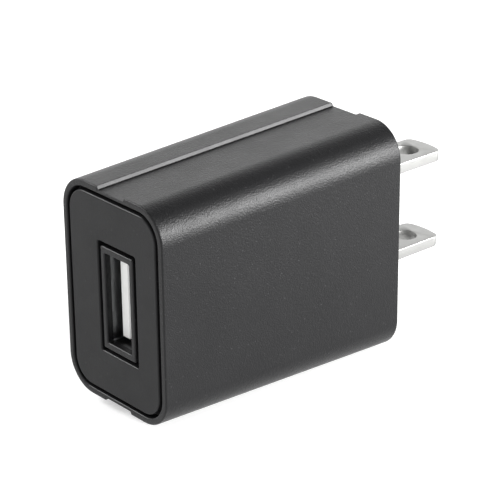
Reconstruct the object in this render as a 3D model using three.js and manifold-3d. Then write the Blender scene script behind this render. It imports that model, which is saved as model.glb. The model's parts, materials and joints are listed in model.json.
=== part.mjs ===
// USB wall charger with two fixed flat blades.
//
// Frame, in millimetres: +Y points out of the wall face along the blades, +Z is up and +X is the wide
// right side. The origin is the middle of the wall face, half way between the blades. The USB port is in
// the front face, at -Y. The circuit board stands upright behind the +X side, and its tall components
// reach from it towards -X.

import * as THREE from 'three';
import { mergeVertices } from 'three/addons/utils/BufferGeometryUtils.js';
import Module from 'manifold-3d';

const wasm = await Module();
wasm.setup();

// ---------------------------------------------------------------- driving dimensions

// Body. The moulded sleeve draws from the rear, so it is a little bigger there.
const BODY_LENGTH = 39.4;
const FRONT_WIDTH = 19.9;
const FRONT_HEIGHT = 29.5;
const BACK_WIDTH = 20.9;
const BACK_HEIGHT = 32.2;
const FRONT_CORNER = 4.5;
const BACK_CORNER = 4.7;
const WALL = 1.5;
const FRONT_EDGE = 0.25;
const BACK_EDGE = 0.25;

// Grip channels, one along the top and one along the bottom.
const CHANNEL_TOP_WIDTH = 5.5;
const CHANNEL_FLOOR_WIDTH = 5.05;
const CHANNEL_DEPTH = 0.45;

// Front face: rim, shadow groove, inlaid panel, and the collar around the port.
const RIM_WIDTH = 0.9;
const PANEL_GROOVE = 0.5;
const RECESS_DEPTH = 1.5;
const PANEL_THICKNESS = 1.3;
const FRONT_WALL_BACK = 3.0;
const PORT_X = 0.8;
const WINDOW = { width: 7.5, height: 15.1, corner: 0.3 };
const COLLAR = { width: 6.4, height: 14.0, corner: 0.25 };
const OPENING = { width: 4.85, height: 12.25, corner: 0.15 };
const COLLAR_LIP = 0.95;
const COLLAR_LENGTH = 3.9;

// USB type A receptacle: metal shell, tongue and the four contact springs.
const RECEPTACLE = { width: 5.12, height: 12.5, sheet: 0.3, length: 13.8 };
const TONGUE = { thickness: 1.84, height: 11.1, recess: 1.9, sideGap: 0.67 };
const CONTACT_PLACES = [3.5, 1.0, -1.0, -3.5];
const CONTACT = { width: 1.0, thickness: 0.25 };

// Wall side: rear cover and the two flat blades on standard outlet centres.
const COVER_THICKNESS = 2.0;
const COVER_RIM = 0.9;
const COVER_FIT = 0.15;
const SKIRT_LENGTH = 3.5;
const SKIRT_WALL = 1.0;
const BLADE_SPACING = 12.7;
const BLADE = {
  width: 6.35, thickness: 1.52, length: 15.4, bevel: 0.16, tipRound: 1.2, crown: 0.3,
  step: 0.05, rootThickness: 1.2, tail: 7.2, tailWidth: 3.6,
};
const BLADE_HOLE = { radius: 1.6, fromWall: 11.5 };

// Circuit board, parallel to the right side.
const BOARD = { inner: 3.75, thickness: 1.2, front: -35.3, back: -5.8, halfHeight: 13.2 };
const RAIL_TOOTH = 0.35;
const LEAD_RADIUS = 0.3;
const LEAD_HOLE = 0.45;
const LEAD_END = BOARD.inner + BOARD.thickness + 0.9;

// ---------------------------------------------------------------- materials

const finish = (color, roughness, metalness = 0) =>
  new THREE.MeshStandardMaterial({ color, roughness, metalness });

const MATERIALS = {
  blackPlastic: finish(0x2b2b2d, 0.55),
  panelPlastic: finish(0x38383a, 0.6),
  adhesive: finish(0xd9d2b8, 0.7),
  nickel: finish(0xc9c9c6, 0.28, 1),
  tinnedSteel: finish(0xb4b6b8, 0.35, 1),
  whiteNylon: finish(0xf0f0ec, 0.5),
  goldContact: finish(0xd8b45a, 0.3, 1),
  board: finish(0xb9a262, 0.6),
  ferrite: finish(0x2a2a2c, 0.75),
  bobbin: finish(0x1f1f21, 0.6),
  copper: finish(0xb5652a, 0.4, 1),
  tape: finish(0xe3c53a, 0.45),
  sleeve: finish(0x26344a, 0.4),
  epoxyBlack: finish(0x1a1a1b, 0.5),
  discBlue: finish(0x2f62a8, 0.4),
  resistorGreen: finish(0x6c8f7a, 0.5),
  ceramic: finish(0xb99e7a, 0.6),
  heatShrink: finish(0x191919, 0.5),
  wireWhite: finish(0xe6e6e2, 0.5),
  wireBlack: finish(0x202022, 0.5),
  solder: finish(0xc4c6c8, 0.3, 1),
};

// ---------------------------------------------------------------- solids

/** A manifold solid of a closed three.js geometry. */
function solidOf(geometry) {
  const bare = geometry.clone();
  bare.deleteAttribute('normal');
  bare.deleteAttribute('uv');
  const merged = mergeVertices(bare, 1e-4);
  return new wasm.Manifold(new wasm.Mesh({
    numProp: 3,
    vertProperties: new Float32Array(merged.attributes.position.array),
    triVerts: new Uint32Array(merged.index.array),
  }));
}

/** The three.js geometry of a manifold solid. */
function geometryOf(solid) {
  const { vertProperties, triVerts } = solid.getMesh();
  const geometry = new THREE.BufferGeometry();
  geometry.setAttribute('position', new THREE.BufferAttribute(new Float32Array(vertProperties), 3));
  geometry.setIndex(new THREE.BufferAttribute(new Uint32Array(triVerts), 1));
  geometry.computeVertexNormals();
  return geometry;
}

/** The manifold solid of several geometries as one. */
const joined = (...geometries) => geometries.map(solidOf).reduce((a, b) => a.add(b));

/** The geometry of a base geometry with other geometries cut out of it. */
const cut = (base, ...tools) =>
  geometryOf(tools.map(solidOf).reduce((a, b) => a.subtract(b), solidOf(base)));

/** A box between two corners. */
function box(x0, x1, y0, y1, z0, z1) {
  return new THREE.BoxGeometry(x1 - x0, y1 - y0, z1 - z0)
    .translate((x0 + x1) / 2, (y0 + y1) / 2, (z0 + z1) / 2);
}

/** A round rod along X from x0 to x1. */
function rodX(radius, x0, x1, y, z, sides = 8) {
  return new THREE.CylinderGeometry(radius, radius, x1 - x0, sides)
    .rotateZ(Math.PI / 2)
    .translate((x0 + x1) / 2, y, z);
}

/** A turned form along X: the profile is [distance along +X, radius] pairs from axis to axis. */
function turnedX(profile, y, z, sides = 24) {
  const points = profile.map(([along, radius]) => new THREE.Vector2(radius, along));
  return new THREE.LatheGeometry(points, sides).rotateZ(-Math.PI / 2).translate(0, y, z);
}

/** The outline of a rounded rectangle, as [x, z] pairs that run anticlockwise. */
function roundedOutline(width, height, corner, steps = 6) {
  const points = [];
  const centres = [[1, 1], [-1, 1], [-1, -1], [1, -1]];
  centres.forEach(([sx, sz], quarter) => {
    for (let step = 0; step <= steps; step += 1) {
      const angle = (quarter + step / steps) * Math.PI / 2;
      points.push([
        sx * (width / 2 - corner) + corner * Math.cos(angle),
        sz * (height / 2 - corner) + corner * Math.sin(angle),
      ]);
    }
  });
  return points;
}

/** A closed solid through outlines of equal point count, given as { y, outline } from front to back. */
function loft(sections) {
  const count = sections[0].outline.length;
  const positions = [];
  const faces = [];
  sections.forEach(({ y, outline }) => outline.forEach(([x, z]) => positions.push(x, y, z)));
  for (let ring = 0; ring < sections.length - 1; ring += 1) {
    for (let i = 0; i < count; i += 1) {
      const a = ring * count + i;
      const b = ring * count + (i + 1) % count;
      faces.push(a, b, a + count, b, b + count, a + count);
    }
  }
  const last = (sections.length - 1) * count;
  for (let i = 1; i < count - 1; i += 1) {
    faces.push(0, i + 1, i, last, last + i, last + i + 1);
  }
  const geometry = new THREE.BufferGeometry();
  geometry.setAttribute('position', new THREE.Float32BufferAttribute(positions, 3));
  geometry.setIndex(faces);
  return oriented(geometry);
}

/** Turns a closed geometry's faces outwards. */
function oriented(geometry) {
  const p = geometry.attributes.position;
  const index = geometry.index.array;
  const [a, b, c] = [new THREE.Vector3(), new THREE.Vector3(), new THREE.Vector3()];
  let volume = 0;
  for (let i = 0; i < index.length; i += 3) {
    a.fromBufferAttribute(p, index[i]);
    b.fromBufferAttribute(p, index[i + 1]);
    c.fromBufferAttribute(p, index[i + 2]);
    volume += a.dot(b.cross(c));
  }
  if (volume < 0) {
    for (let i = 0; i < index.length; i += 3) {
      [index[i + 1], index[i + 2]] = [index[i + 2], index[i + 1]];
    }
  }
  return geometry;
}

/** A straight prism along Y with a rounded-rectangle section centred on (x, 0). */
function roundedPrism({ width, height, corner }, y0, y1, x = 0, steps = 4) {
  const outline = roundedOutline(width, height, corner, steps);
  return loft([{ y: y0, outline }, { y: y1, outline }]).translate(x, 0, 0);
}

/** The drafted body's outline at a distance behind the front face, moved inwards by an inset. */
function bodySection(fromFront, inset) {
  const t = fromFront / BODY_LENGTH;
  const width = THREE.MathUtils.lerp(FRONT_WIDTH, BACK_WIDTH, t) - 2 * inset;
  const height = THREE.MathUtils.lerp(FRONT_HEIGHT, BACK_HEIGHT, t) - 2 * inset;
  const corner = Math.max(THREE.MathUtils.lerp(FRONT_CORNER, BACK_CORNER, t) - inset, 0.5);
  return { y: fromFront - BODY_LENGTH, outline: roundedOutline(width, height, corner, 8) };
}

/** A body-shaped solid through [distance behind the front face, inset] pairs. */
const bodyLoft = (stations) => loft(stations.map(([at, inset]) => bodySection(at, inset)));

/** A flat strip of even thickness that follows a line of [x, y] points, extruded along Z. */
function bentStrip(points, thickness, z0, z1) {
  const line = points.map(([x, y]) => new THREE.Vector2(x, y));
  const sides = [[], []];
  line.forEach((point, i) => {
    const before = line[Math.max(i - 1, 0)];
    const after = line[Math.min(i + 1, line.length - 1)];
    const first = (i === 0 ? after.clone().sub(point) : point.clone().sub(before)).normalize();
    const second = (i === line.length - 1 ? first.clone() : after.clone().sub(point)).normalize();
    const across = first.clone().add(second).normalize();
    const reach = thickness / 2 / across.dot(second);
    const normal = new THREE.Vector2(-across.y, across.x).multiplyScalar(reach);
    sides[0].push(point.clone().add(normal));
    sides[1].unshift(point.clone().sub(normal));
  });
  const shape = new THREE.Shape([...sides[0], ...sides[1]]);
  const depth = z1 - z0;
  return new THREE.ExtrudeGeometry(shape, { depth, bevelEnabled: false }).translate(0, 0, z0);
}

/** A round wire along a smooth curve through [x, y, z] points. */
function wire(points, radius, steps) {
  const path = new THREE.CatmullRomCurve3(points.map((p) => new THREE.Vector3(...p)), false, 'centripetal');
  const section = new THREE.Shape();
  section.absarc(0, 0, radius, 0, 2 * Math.PI, false);
  return new THREE.ExtrudeGeometry(section, { extrudePath: path, steps, curveSegments: 4 });
}

const charger = new THREE.Group();

/** Adds one named piece to a group. */
function piece(group, name, geometry, material, place = [0, 0, 0]) {
  const mesh = new THREE.Mesh(geometry, material);
  mesh.name = name;
  mesh.position.set(...place);
  group.add(mesh);
  return mesh;
}

// ---------------------------------------------------------------- housing

const enclosure = new THREE.Group();
charger.add(enclosure);

/** The prism that cuts one grip channel: side is +1 for the top and -1 for the bottom. */
function channelCutter(side) {
  const section = (fromFront) => {
    const t = fromFront / BODY_LENGTH;
    const face = THREE.MathUtils.lerp(FRONT_HEIGHT, BACK_HEIGHT, t) / 2;
    const slope = (CHANNEL_TOP_WIDTH - CHANNEL_FLOOR_WIDTH) / 2 / CHANNEL_DEPTH;
    const above = 1.0;
    const half = CHANNEL_FLOOR_WIDTH / 2;
    const wide = half + slope * (CHANNEL_DEPTH + above);
    return {
      y: fromFront - BODY_LENGTH,
      outline: [[-half, -CHANNEL_DEPTH], [half, -CHANNEL_DEPTH], [wide, above], [-wide, above]]
        .map(([x, z]) => [x, side * (face + z)]),
    };
  };
  return loft([section(-1), section(BODY_LENGTH + 1)]);
}

/** Two ribs on the inside of the top or bottom wall that hold an edge of the board. */
function boardRails(side) {
  const ribs = [];
  const gap = 0.15;
  for (const x of [BOARD.inner - gap - 1, BOARD.inner + BOARD.thickness + gap]) {
    const reach = [BOARD.halfHeight - RAIL_TOOTH, BACK_HEIGHT / 2 - 1];
    const [low, high] = side > 0 ? reach : reach.map((z) => -z).reverse();
    ribs.push(box(x, x + 1, -BODY_LENGTH + FRONT_WALL_BACK - 0.2, -9, low, high));
  }
  return ribs;
}

/** The sleeve: drafted walls, front wall, rim, channels and the rails for the board. */
function housingShell() {
  const rebate = COVER_THICKNESS + 0.1;
  const outer = bodyLoft([
    [0, FRONT_EDGE], [FRONT_EDGE, 0], [BODY_LENGTH - BACK_EDGE, 0],
    [BODY_LENGTH - 0.3 * BACK_EDGE, 0.3 * BACK_EDGE], [BODY_LENGTH, BACK_EDGE],
  ]);
  const cavity = bodyLoft([[FRONT_WALL_BACK, WALL], [BODY_LENGTH - rebate, WALL]]);
  const coverSeat = bodyLoft([[BODY_LENGTH - rebate - 0.01, COVER_RIM], [BODY_LENGTH + 1, COVER_RIM]]);
  const panelRecess = bodyLoft([[-1, RIM_WIDTH], [RECESS_DEPTH, RIM_WIDTH]]);
  const portHole = { width: COLLAR.width + 0.1, height: COLLAR.height + 0.1, corner: COLLAR.corner };
  const front = -BODY_LENGTH;
  const shell = cut(
    outer, cavity, coverSeat, panelRecess,
    roundedPrism(portHole, front - 1, front + FRONT_WALL_BACK + 1, PORT_X),
    channelCutter(1), channelCutter(-1),
  );
  const body = solidOf(outer);
  return geometryOf([...boardRails(1), ...boardRails(-1)]
    .reduce((solid, rib) => solid.add(solidOf(rib).intersect(body)), solidOf(shell)));
}

piece(enclosure, 'housing_shell', housingShell(), MATERIALS.blackPlastic);

/** The inlaid plate, flush with the rim, with a window for the port collar. */
function frontPanel() {
  const inset = RIM_WIDTH + PANEL_GROOVE;
  const plate = bodyLoft([[0, inset + 0.12], [0.12, inset], [PANEL_THICKNESS, inset]]);
  const front = -BODY_LENGTH;
  return cut(plate, roundedPrism(WINDOW, front - 1, front + PANEL_THICKNESS + 1, PORT_X));
}

piece(enclosure, 'front_panel', frontPanel(), MATERIALS.panelPlastic);

/** The film of adhesive that holds the panel in its recess. */
function panelAdhesive() {
  const inset = RIM_WIDTH + PANEL_GROOVE + 0.6;
  const film = bodyLoft([[PANEL_THICKNESS + 0.02, inset], [RECESS_DEPTH - 0.02, inset]]);
  const hole = { width: WINDOW.width + 1.2, height: WINDOW.height + 1.2, corner: 1 };
  const front = -BODY_LENGTH;
  return cut(film, roundedPrism(hole, front, front + RECESS_DEPTH + 1, PORT_X));
}

piece(enclosure, 'panel_adhesive', panelAdhesive(), MATERIALS.adhesive);

/** The collar: a frame flush with the panel, stepped inside for the metal shell, with an inner flange. */
function portCollar() {
  const front = -BODY_LENGTH;
  const flange = { width: COLLAR.width + 2, height: COLLAR.height + 2, corner: 1.2 };
  const behind = front + FRONT_WALL_BACK + 0.05;
  const outer = geometryOf(joined(
    roundedPrism(COLLAR, front, front + COLLAR_LENGTH, PORT_X),
    roundedPrism(flange, behind, front + COLLAR_LENGTH, PORT_X),
  ));
  const seat = {
    width: RECEPTACLE.width + 2 * RECEPTACLE.sheet + 0.1,
    height: RECEPTACLE.height + 2 * RECEPTACLE.sheet + 0.1,
    corner: 0.7,
  };
  return cut(
    outer,
    roundedPrism(OPENING, front - 1, front + COLLAR_LIP + 1, PORT_X),
    roundedPrism(seat, front + COLLAR_LIP, front + COLLAR_LENGTH + 1, PORT_X),
  );
}

piece(enclosure, 'port_collar', portCollar(), MATERIALS.blackPlastic);

// ---------------------------------------------------------------- wall side

/** The rear cover: a plate in the sleeve's mouth, a locating skirt, and a boss behind each blade. */
function rearCover() {
  const inset = COVER_RIM + COVER_FIT;
  const skirtInset = WALL + COVER_FIT;
  const plateFront = BODY_LENGTH - COVER_THICKNESS;
  const plate = bodyLoft([[plateFront, inset], [BODY_LENGTH - 0.2, inset], [BODY_LENGTH, inset + 0.2]]);
  const skirtEnds = [plateFront - SKIRT_LENGTH, plateFront + 0.5];
  const skirt = cut(
    bodyLoft(skirtEnds.map((at) => [at, skirtInset])),
    bodyLoft([plateFront - SKIRT_LENGTH - 1, plateFront].map((at) => [at, skirtInset + SKIRT_WALL])),
  );
  const bosses = [];
  const slots = [];
  for (const side of [1, -1]) {
    const z = side * BLADE_SPACING / 2;
    const halfSlot = [BLADE.width / 2 - BLADE.bevel + 0.05, BLADE.rootThickness / 2 + 0.05];
    bosses.push(box(-4.6, 4.6, -5, -1.5, z - 2.2, z + 2.2));
    slots.push(box(-halfSlot[0], halfSlot[0], -6, 1, z - halfSlot[1], z + halfSlot[1]));
  }
  return cut(geometryOf(joined(plate, skirt, ...bosses)), ...slots);
}

piece(enclosure, 'rear_cover', rearCover(), MATERIALS.blackPlastic);

/** A flat plate in the XY plane, centred on z = 0, with its edges bevelled. */
function bevelledPlate(outline, thickness, bevel) {
  return new THREE.ExtrudeGeometry(outline, {
    depth: thickness - 2 * bevel,
    curveSegments: 8,
    bevelThickness: bevel,
    bevelSize: bevel,
    bevelOffset: -bevel,
    bevelSegments: 1,
  }).translate(0, 0, -thickness / 2 + bevel);
}

/** A round hole for a plate's outline. */
function roundHole(y, radius) {
  const hole = new THREE.Path();
  hole.absarc(0, y, radius, 0, 2 * Math.PI, true);
  return hole;
}

/** One flat blade: rounded tip corners, bevelled edges, a hole, and a thinner root with a solder tail. */
function blade() {
  const half = BLADE.width / 2;
  const { tipRound: round, crown } = BLADE;
  const shoulder = BLADE.length - crown;
  const outside = new THREE.Shape();
  outside.moveTo(-half, BLADE.step);
  outside.lineTo(half, BLADE.step);
  outside.lineTo(half, shoulder - round);
  outside.quadraticCurveTo(half, shoulder - 0.1, half - round, shoulder + 0.08);
  outside.quadraticCurveTo(0, BLADE.length + crown / 2, -half + round, shoulder + 0.08);
  outside.quadraticCurveTo(-half, shoulder - 0.1, -half, shoulder - round);
  outside.holes.push(roundHole(BLADE_HOLE.fromWall, BLADE_HOLE.radius));

  const tail = BLADE.tailWidth / 2;
  const rootHalf = half - BLADE.bevel;
  const root = new THREE.Shape([
    [-tail, -BLADE.tail], [tail, -BLADE.tail], [tail, -4.6], [rootHalf, -4.0],
    [rootHalf, BLADE.step + 1], [-rootHalf, BLADE.step + 1], [-rootHalf, -4.0], [-tail, -4.6],
  ].map(([x, y]) => new THREE.Vector2(x, y)));
  root.holes.push(roundHole(-BLADE.tail + 1.4, 0.6));
  return geometryOf(joined(
    bevelledPlate(outside, BLADE.thickness, BLADE.bevel),
    bevelledPlate(root, BLADE.rootThickness, 0.05),
  ));
}

piece(enclosure, 'upper_blade', blade(), MATERIALS.nickel, [0, 0, BLADE_SPACING / 2]);
piece(enclosure, 'lower_blade', blade(), MATERIALS.nickel, [0, 0, -BLADE_SPACING / 2]);

// ---------------------------------------------------------------- USB receptacle
// Built around its own mouth: the group's origin is the middle of the shell's front edge.

const receptacle = new THREE.Group();
receptacle.position.set(PORT_X, -BODY_LENGTH + COLLAR_LIP, 0);
charger.add(receptacle);

const shellHalfWidth = RECEPTACLE.width / 2 + RECEPTACLE.sheet;
const shellHalfHeight = RECEPTACLE.height / 2 + RECEPTACLE.sheet;
const boardFromPort = BOARD.inner - PORT_X;
const leadEndFromPort = LEAD_END - PORT_X;

/** The folded steel shell, with slits around its retention leaves and two legs into the board. */
function usbShell() {
  const { width, height, sheet, length } = RECEPTACLE;
  const envelope = { width: width + 2 * sheet, height: height + 2 * sheet, corner: 0.6 };
  const outer = roundedPrism(envelope, 0, length);
  const legs = [];
  const slits = [];
  for (const side of [1, -1]) {
    const z = side * (shellHalfHeight - sheet / 2);
    legs.push(box(shellHalfWidth - 0.8, leadEndFromPort, 8, 10, z - sheet / 2, z + sheet / 2));
    const leaf = side * 3.2;
    slits.push(
      box(-shellHalfWidth - 1, shellHalfWidth + 1, 2.4, 7.4, leaf + 1, leaf + 1.3),
      box(-shellHalfWidth - 1, shellHalfWidth + 1, 2.4, 7.4, leaf - 1.3, leaf - 1),
      box(-shellHalfWidth - 1, shellHalfWidth + 1, 2.1, 2.4, leaf - 1.3, leaf + 1.3),
    );
  }
  return cut(
    geometryOf(joined(outer, ...legs)),
    roundedPrism({ width, height, corner: 0.35 }, -1, length + 1),
    ...slits,
  );
}

piece(receptacle, 'usb_shell', usbShell(), MATERIALS.tinnedSteel);

const tongueLow = -RECEPTACLE.width / 2 + TONGUE.sideGap;
const tongueHigh = tongueLow + TONGUE.thickness;
const tongueTip = TONGUE.recess - COLLAR_LIP;
const baseFront = RECEPTACLE.length - 3.6;
const baseBack = RECEPTACLE.length - 0.2;

/** The moulded insulator: the base that closes the shell and the tongue with its contact grooves. */
function usbInsulator() {
  const clear = 0.05;
  const half = TONGUE.height / 2;
  const tip = 0.5;
  const base = roundedPrism(
    { width: RECEPTACLE.width - 2 * clear, height: RECEPTACLE.height - 2 * clear, corner: 0.35 },
    baseFront, baseBack,
  );
  const tongueProfile = new THREE.Shape([
    new THREE.Vector2(tongueLow, baseFront + 1),
    new THREE.Vector2(tongueLow, tongueTip + tip),
    new THREE.Vector2(tongueLow + 0.2, tongueTip),
    new THREE.Vector2(tongueHigh - 0.35, tongueTip),
    new THREE.Vector2(tongueHigh, tongueTip + 1.1 * tip),
    new THREE.Vector2(tongueHigh, baseFront + 1),
  ]);
  const tongue = new THREE.ExtrudeGeometry(tongueProfile, { depth: 2 * half, bevelEnabled: false })
    .translate(0, 0, -half);
  const grooves = CONTACT_PLACES.map((z) => {
    const side = CONTACT.width / 2 + 0.1;
    return box(tongueHigh - 1.05, tongueHigh + 0.25, tongueTip + 1.1, baseBack + 1, z - side, z + side);
  });
  return cut(geometryOf(joined(base, tongue)), ...grooves);
}

piece(receptacle, 'usb_tongue_body', usbInsulator(), MATERIALS.whiteNylon);

/** One contact spring: tail through the board, beam along its groove and a raised contact nose. */
function usbContact() {
  const rest = tongueHigh - 0.6;
  const turn = baseBack + 0.55;
  const line = [
    [leadEndFromPort, turn], [rest + 0.35, turn], [rest, turn - 0.35], [rest, 6.6],
    [tongueHigh + 0.28, 3.6], [tongueHigh + 0.28, 3.2], [rest - 0.05, tongueTip + 1.3],
  ];
  return bentStrip(line, CONTACT.thickness, -CONTACT.width / 2, CONTACT.width / 2);
}

const CONTACT_NAMES = ['supply', 'data_minus', 'data_plus', 'ground'];
CONTACT_NAMES.forEach((use, i) => {
  piece(receptacle, `usb_contact_${use}`, usbContact(), MATERIALS.goldContact, [0, 0, CONTACT_PLACES[i]]);
});

// ---------------------------------------------------------------- circuit board and its components
// A component is placed by its [y, z] on the board. Its leads go through the board along +X.

const electronics = new THREE.Group();
charger.add(electronics);

const PLACES = {
  inputCapacitors: [[-20.6, 8.8], [-12.3, 8.8]],
  outputCapacitor: [-30.6, 9.75],
  supplyCapacitor: [-25.7, -10.6],
  inductor: [-7.2, 0],
  fusibleResistor: [-7.9, -11.2],
  safetyCapacitor: [-31.3, -9.8],
  transformer: [-16.6, -6.0],
  bridge: [-7.7, 4.9],
  controlChip: [-16.6, -6.0],
  outputDiode: [-25.8, 8.2],
  wires: [[-6.1, 11.9], [-5.9, -3.4]],
};

const CAPACITOR_PITCH = { input: 3.5, output: 2.5, supply: 1.5 };
const TRANSFORMER_PINS = [-4.5, 0, 4.5].flatMap((z) => [[-6.3, z], [6.3, z]]);

/** Two lead places, a pitch apart along Y. */
const pairAlongY = ([y, z], pitch) => [[y - pitch / 2, z], [y + pitch / 2, z]];

const LEAD_PLACES = {
  input: PLACES.inputCapacitors.map((place) => pairAlongY(place, CAPACITOR_PITCH.input)),
  output: pairAlongY(PLACES.outputCapacitor, CAPACITOR_PITCH.output),
  supply: pairAlongY(PLACES.supplyCapacitor, CAPACITOR_PITCH.supply),
  inductor: pairAlongY(PLACES.inductor, 2.4),
  fusible: [PLACES.fusibleResistor, [PLACES.fusibleResistor[0], PLACES.fusibleResistor[1] + 2.2]],
  safety: pairAlongY(PLACES.safetyCapacitor, 5.0),
  transformer: TRANSFORMER_PINS.map(([y, z]) => [PLACES.transformer[0] + y, PLACES.transformer[1] + z]),
};

/** The board, drilled for every lead and slotted for the receptacle's legs. */
function circuitBoard() {
  const { inner, thickness, front, back, halfHeight: half } = BOARD;
  const contactRow = receptacle.position.y + baseBack + 0.55;
  const contactHoles = CONTACT_PLACES.map((z) => [contactRow, z]);
  const wireHoles = PLACES.wires;
  const holes = [
    ...LEAD_PLACES.input.flat(), ...LEAD_PLACES.output, ...LEAD_PLACES.supply, ...LEAD_PLACES.inductor,
    ...LEAD_PLACES.fusible, ...LEAD_PLACES.safety, ...LEAD_PLACES.transformer, ...wireHoles,
  ].map(([y, z]) => rodX(LEAD_HOLE, inner - 1, inner + thickness + 1, y, z, 8));
  const contactDrills = contactHoles
    .map(([y, z]) => rodX(0.65, inner - 1, inner + thickness + 1, y, z, 8));
  const slots = [1, -1].map((side) => {
    const z = side * (shellHalfHeight - RECEPTACLE.sheet / 2);
    const y = receptacle.position.y + 9;
    return box(inner - 1, inner + thickness + 1, y - 1.2, y + 1.2, z - 0.35, z + 0.35);
  });
  return cut(box(inner, inner + thickness, front, back, -half, half), ...holes, ...contactDrills, ...slots);
}

piece(electronics, 'circuit_board', circuitBoard(), MATERIALS.board);

/** Straight leads from a component's underside through the board. */
const leads = (places, from) => places.map(([y, z]) => rodX(LEAD_RADIUS, from, LEAD_END, y, z, 6));

/** A radial electrolytic capacitor: a can with a crimp groove near its seal, standing on the board. */
function electrolytic([y, z], radius, length, leadPlaces) {
  const foot = BOARD.inner - 0.3;
  const top = foot - length;
  const can = turnedX([
    [top, 0], [top, radius - 0.5], [top + 0.4, radius], [foot - 2.4, radius], [foot - 2.0, radius - 0.35],
    [foot - 1.6, radius], [foot - 0.3, radius], [foot, radius - 0.4], [foot, 0],
  ], y, z);
  return geometryOf(joined(can, ...leads(leadPlaces, foot - 0.5)));
}

PLACES.inputCapacitors.forEach((place, i) => {
  const name = `input_capacitor_${i + 1}`;
  piece(electronics, name, electrolytic(place, 4.0, 11.2, LEAD_PLACES.input[i]), MATERIALS.sleeve);
});
piece(electronics, 'output_capacitor',
  electrolytic(PLACES.outputCapacitor, 3.1, 10.6, LEAD_PLACES.output), MATERIALS.sleeve);
piece(electronics, 'supply_capacitor',
  electrolytic(PLACES.supplyCapacitor, 2.0, 7.0, LEAD_PLACES.supply), MATERIALS.sleeve);

/** The input filter choke: a ferrite bobbin with its winding under heat-shrink, standing on the board. */
function filterChoke() {
  const foot = BOARD.inner - 0.3;
  const [y, z] = PLACES.inductor;
  const body = turnedX([
    [foot - 6.4, 0], [foot - 6.4, 1.7], [foot - 6.2, 2.0], [foot - 5.6, 2.0], [foot - 5.3, 1.75],
    [foot - 1.1, 1.75], [foot - 0.8, 2.0], [foot - 0.2, 2.0], [foot, 1.8], [foot, 0],
  ], y, z, 20);
  return geometryOf(joined(body, ...leads(LEAD_PLACES.inductor, foot - 0.5)));
}

piece(electronics, 'filter_choke', filterChoke(), MATERIALS.ferrite);

/** The fusible resistor: an axial body on end, one lead folded back down to the board. */
function fusibleResistor() {
  const foot = BOARD.inner - 1.2;
  const length = 8.0;
  const [y, z] = PLACES.fusibleResistor;
  const top = foot - length;
  const body = turnedX([
    [top, 0], [top, 0.9], [top + 0.4, 1.2], [top + 1.6, 1.2], [top + 2.0, 1.05], [foot - 2.0, 1.05],
    [foot - 1.6, 1.2], [foot - 0.4, 1.2], [foot, 0.9], [foot, 0],
  ], y, z, 16);
  const [, [, foldedZ]] = LEAD_PLACES.fusible;
  const bend = box(top - 0.7, top - 0.1, y - 0.3, y + 0.3, z - 0.3, foldedZ + 0.3);
  const stub = rodX(LEAD_RADIUS, top - 0.6, top + 0.5, y, z, 6);
  const near = rodX(LEAD_RADIUS, foot - 0.5, LEAD_END, y, z, 6);
  const far = rodX(LEAD_RADIUS, top - 0.5, LEAD_END, y, foldedZ, 6);
  return geometryOf(joined(body, bend, stub, near, far));
}

piece(electronics, 'fusible_resistor', fusibleResistor(), MATERIALS.resistorGreen);

/** The heat-shrink tube around the fusible resistor's body. */
function resistorSleeve() {
  const foot = BOARD.inner - 1.9;
  const [y, z] = PLACES.fusibleResistor;
  return cut(rodX(1.6, foot - 6.4, foot, y, z, 20), rodX(1.3, foot - 8, foot + 1, y, z, 20));
}

piece(electronics, 'resistor_sleeve', resistorSleeve(), MATERIALS.heatShrink);

/** The ceramic disc capacitor that bridges the mains side and the output side. */
function safetyCapacitor() {
  const [y, z] = PLACES.safetyCapacitor;
  const radius = 3.6;
  const middle = BOARD.inner - 5.0;
  const disc = new THREE.LatheGeometry([
    new THREE.Vector2(0, -1.6), new THREE.Vector2(radius - 1.1, -1.5), new THREE.Vector2(radius, -0.6),
    new THREE.Vector2(radius, 0.6), new THREE.Vector2(radius - 1.1, 1.5), new THREE.Vector2(0, 1.6),
  ], 24).rotateX(Math.PI / 2).translate(middle, y, z);
  return geometryOf(joined(disc, ...leads(LEAD_PLACES.safety, middle + 1)));
}

piece(electronics, 'safety_capacitor', safetyCapacitor(), MATERIALS.discBlue);

// Transformer, wound about X: two E-shaped core halves, bobbin, winding, tape and pins.
const transformer = new THREE.Group();
transformer.position.set(BOARD.inner, ...PLACES.transformer);
electronics.add(transformer);

const CORE = { width: 13.2, depth: 6.0, plate: 2.4, outerLeg: 2.2, centreLeg: 3.0, height: 5.2 };
const CORE_FOOT = -0.85;
const CORE_TOP = CORE_FOOT - 2 * CORE.height - 0.1;

/** One E-shaped ferrite half: x is its back face, and direction is +1 when its legs point to +X. */
function coreHalf(x, direction) {
  const span = (a, b) => [x + direction * a, x + direction * b].sort((p, q) => p - q);
  const { width, depth, plate, outerLeg, centreLeg, height } = CORE;
  const bar = (from, to, z0, z1) => box(...span(from, to), -depth / 2, depth / 2, z0, z1);
  return geometryOf(joined(
    bar(0, plate, -width / 2, width / 2),
    bar(0, height, -width / 2, -width / 2 + outerLeg),
    bar(0, height, width / 2 - outerLeg, width / 2),
    bar(0, height, -centreLeg / 2, centreLeg / 2),
  ));
}

piece(transformer, 'core_half_inner', coreHalf(CORE_FOOT, -1), MATERIALS.ferrite);
piece(transformer, 'core_half_outer', coreHalf(CORE_TOP, 1), MATERIALS.ferrite);

const windowLow = CORE_TOP + CORE.plate;
const windowHigh = CORE_FOOT - CORE.plate;
const windowHalf = CORE.width / 2 - CORE.outerLeg;
const FLANGE = 0.6;

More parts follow.
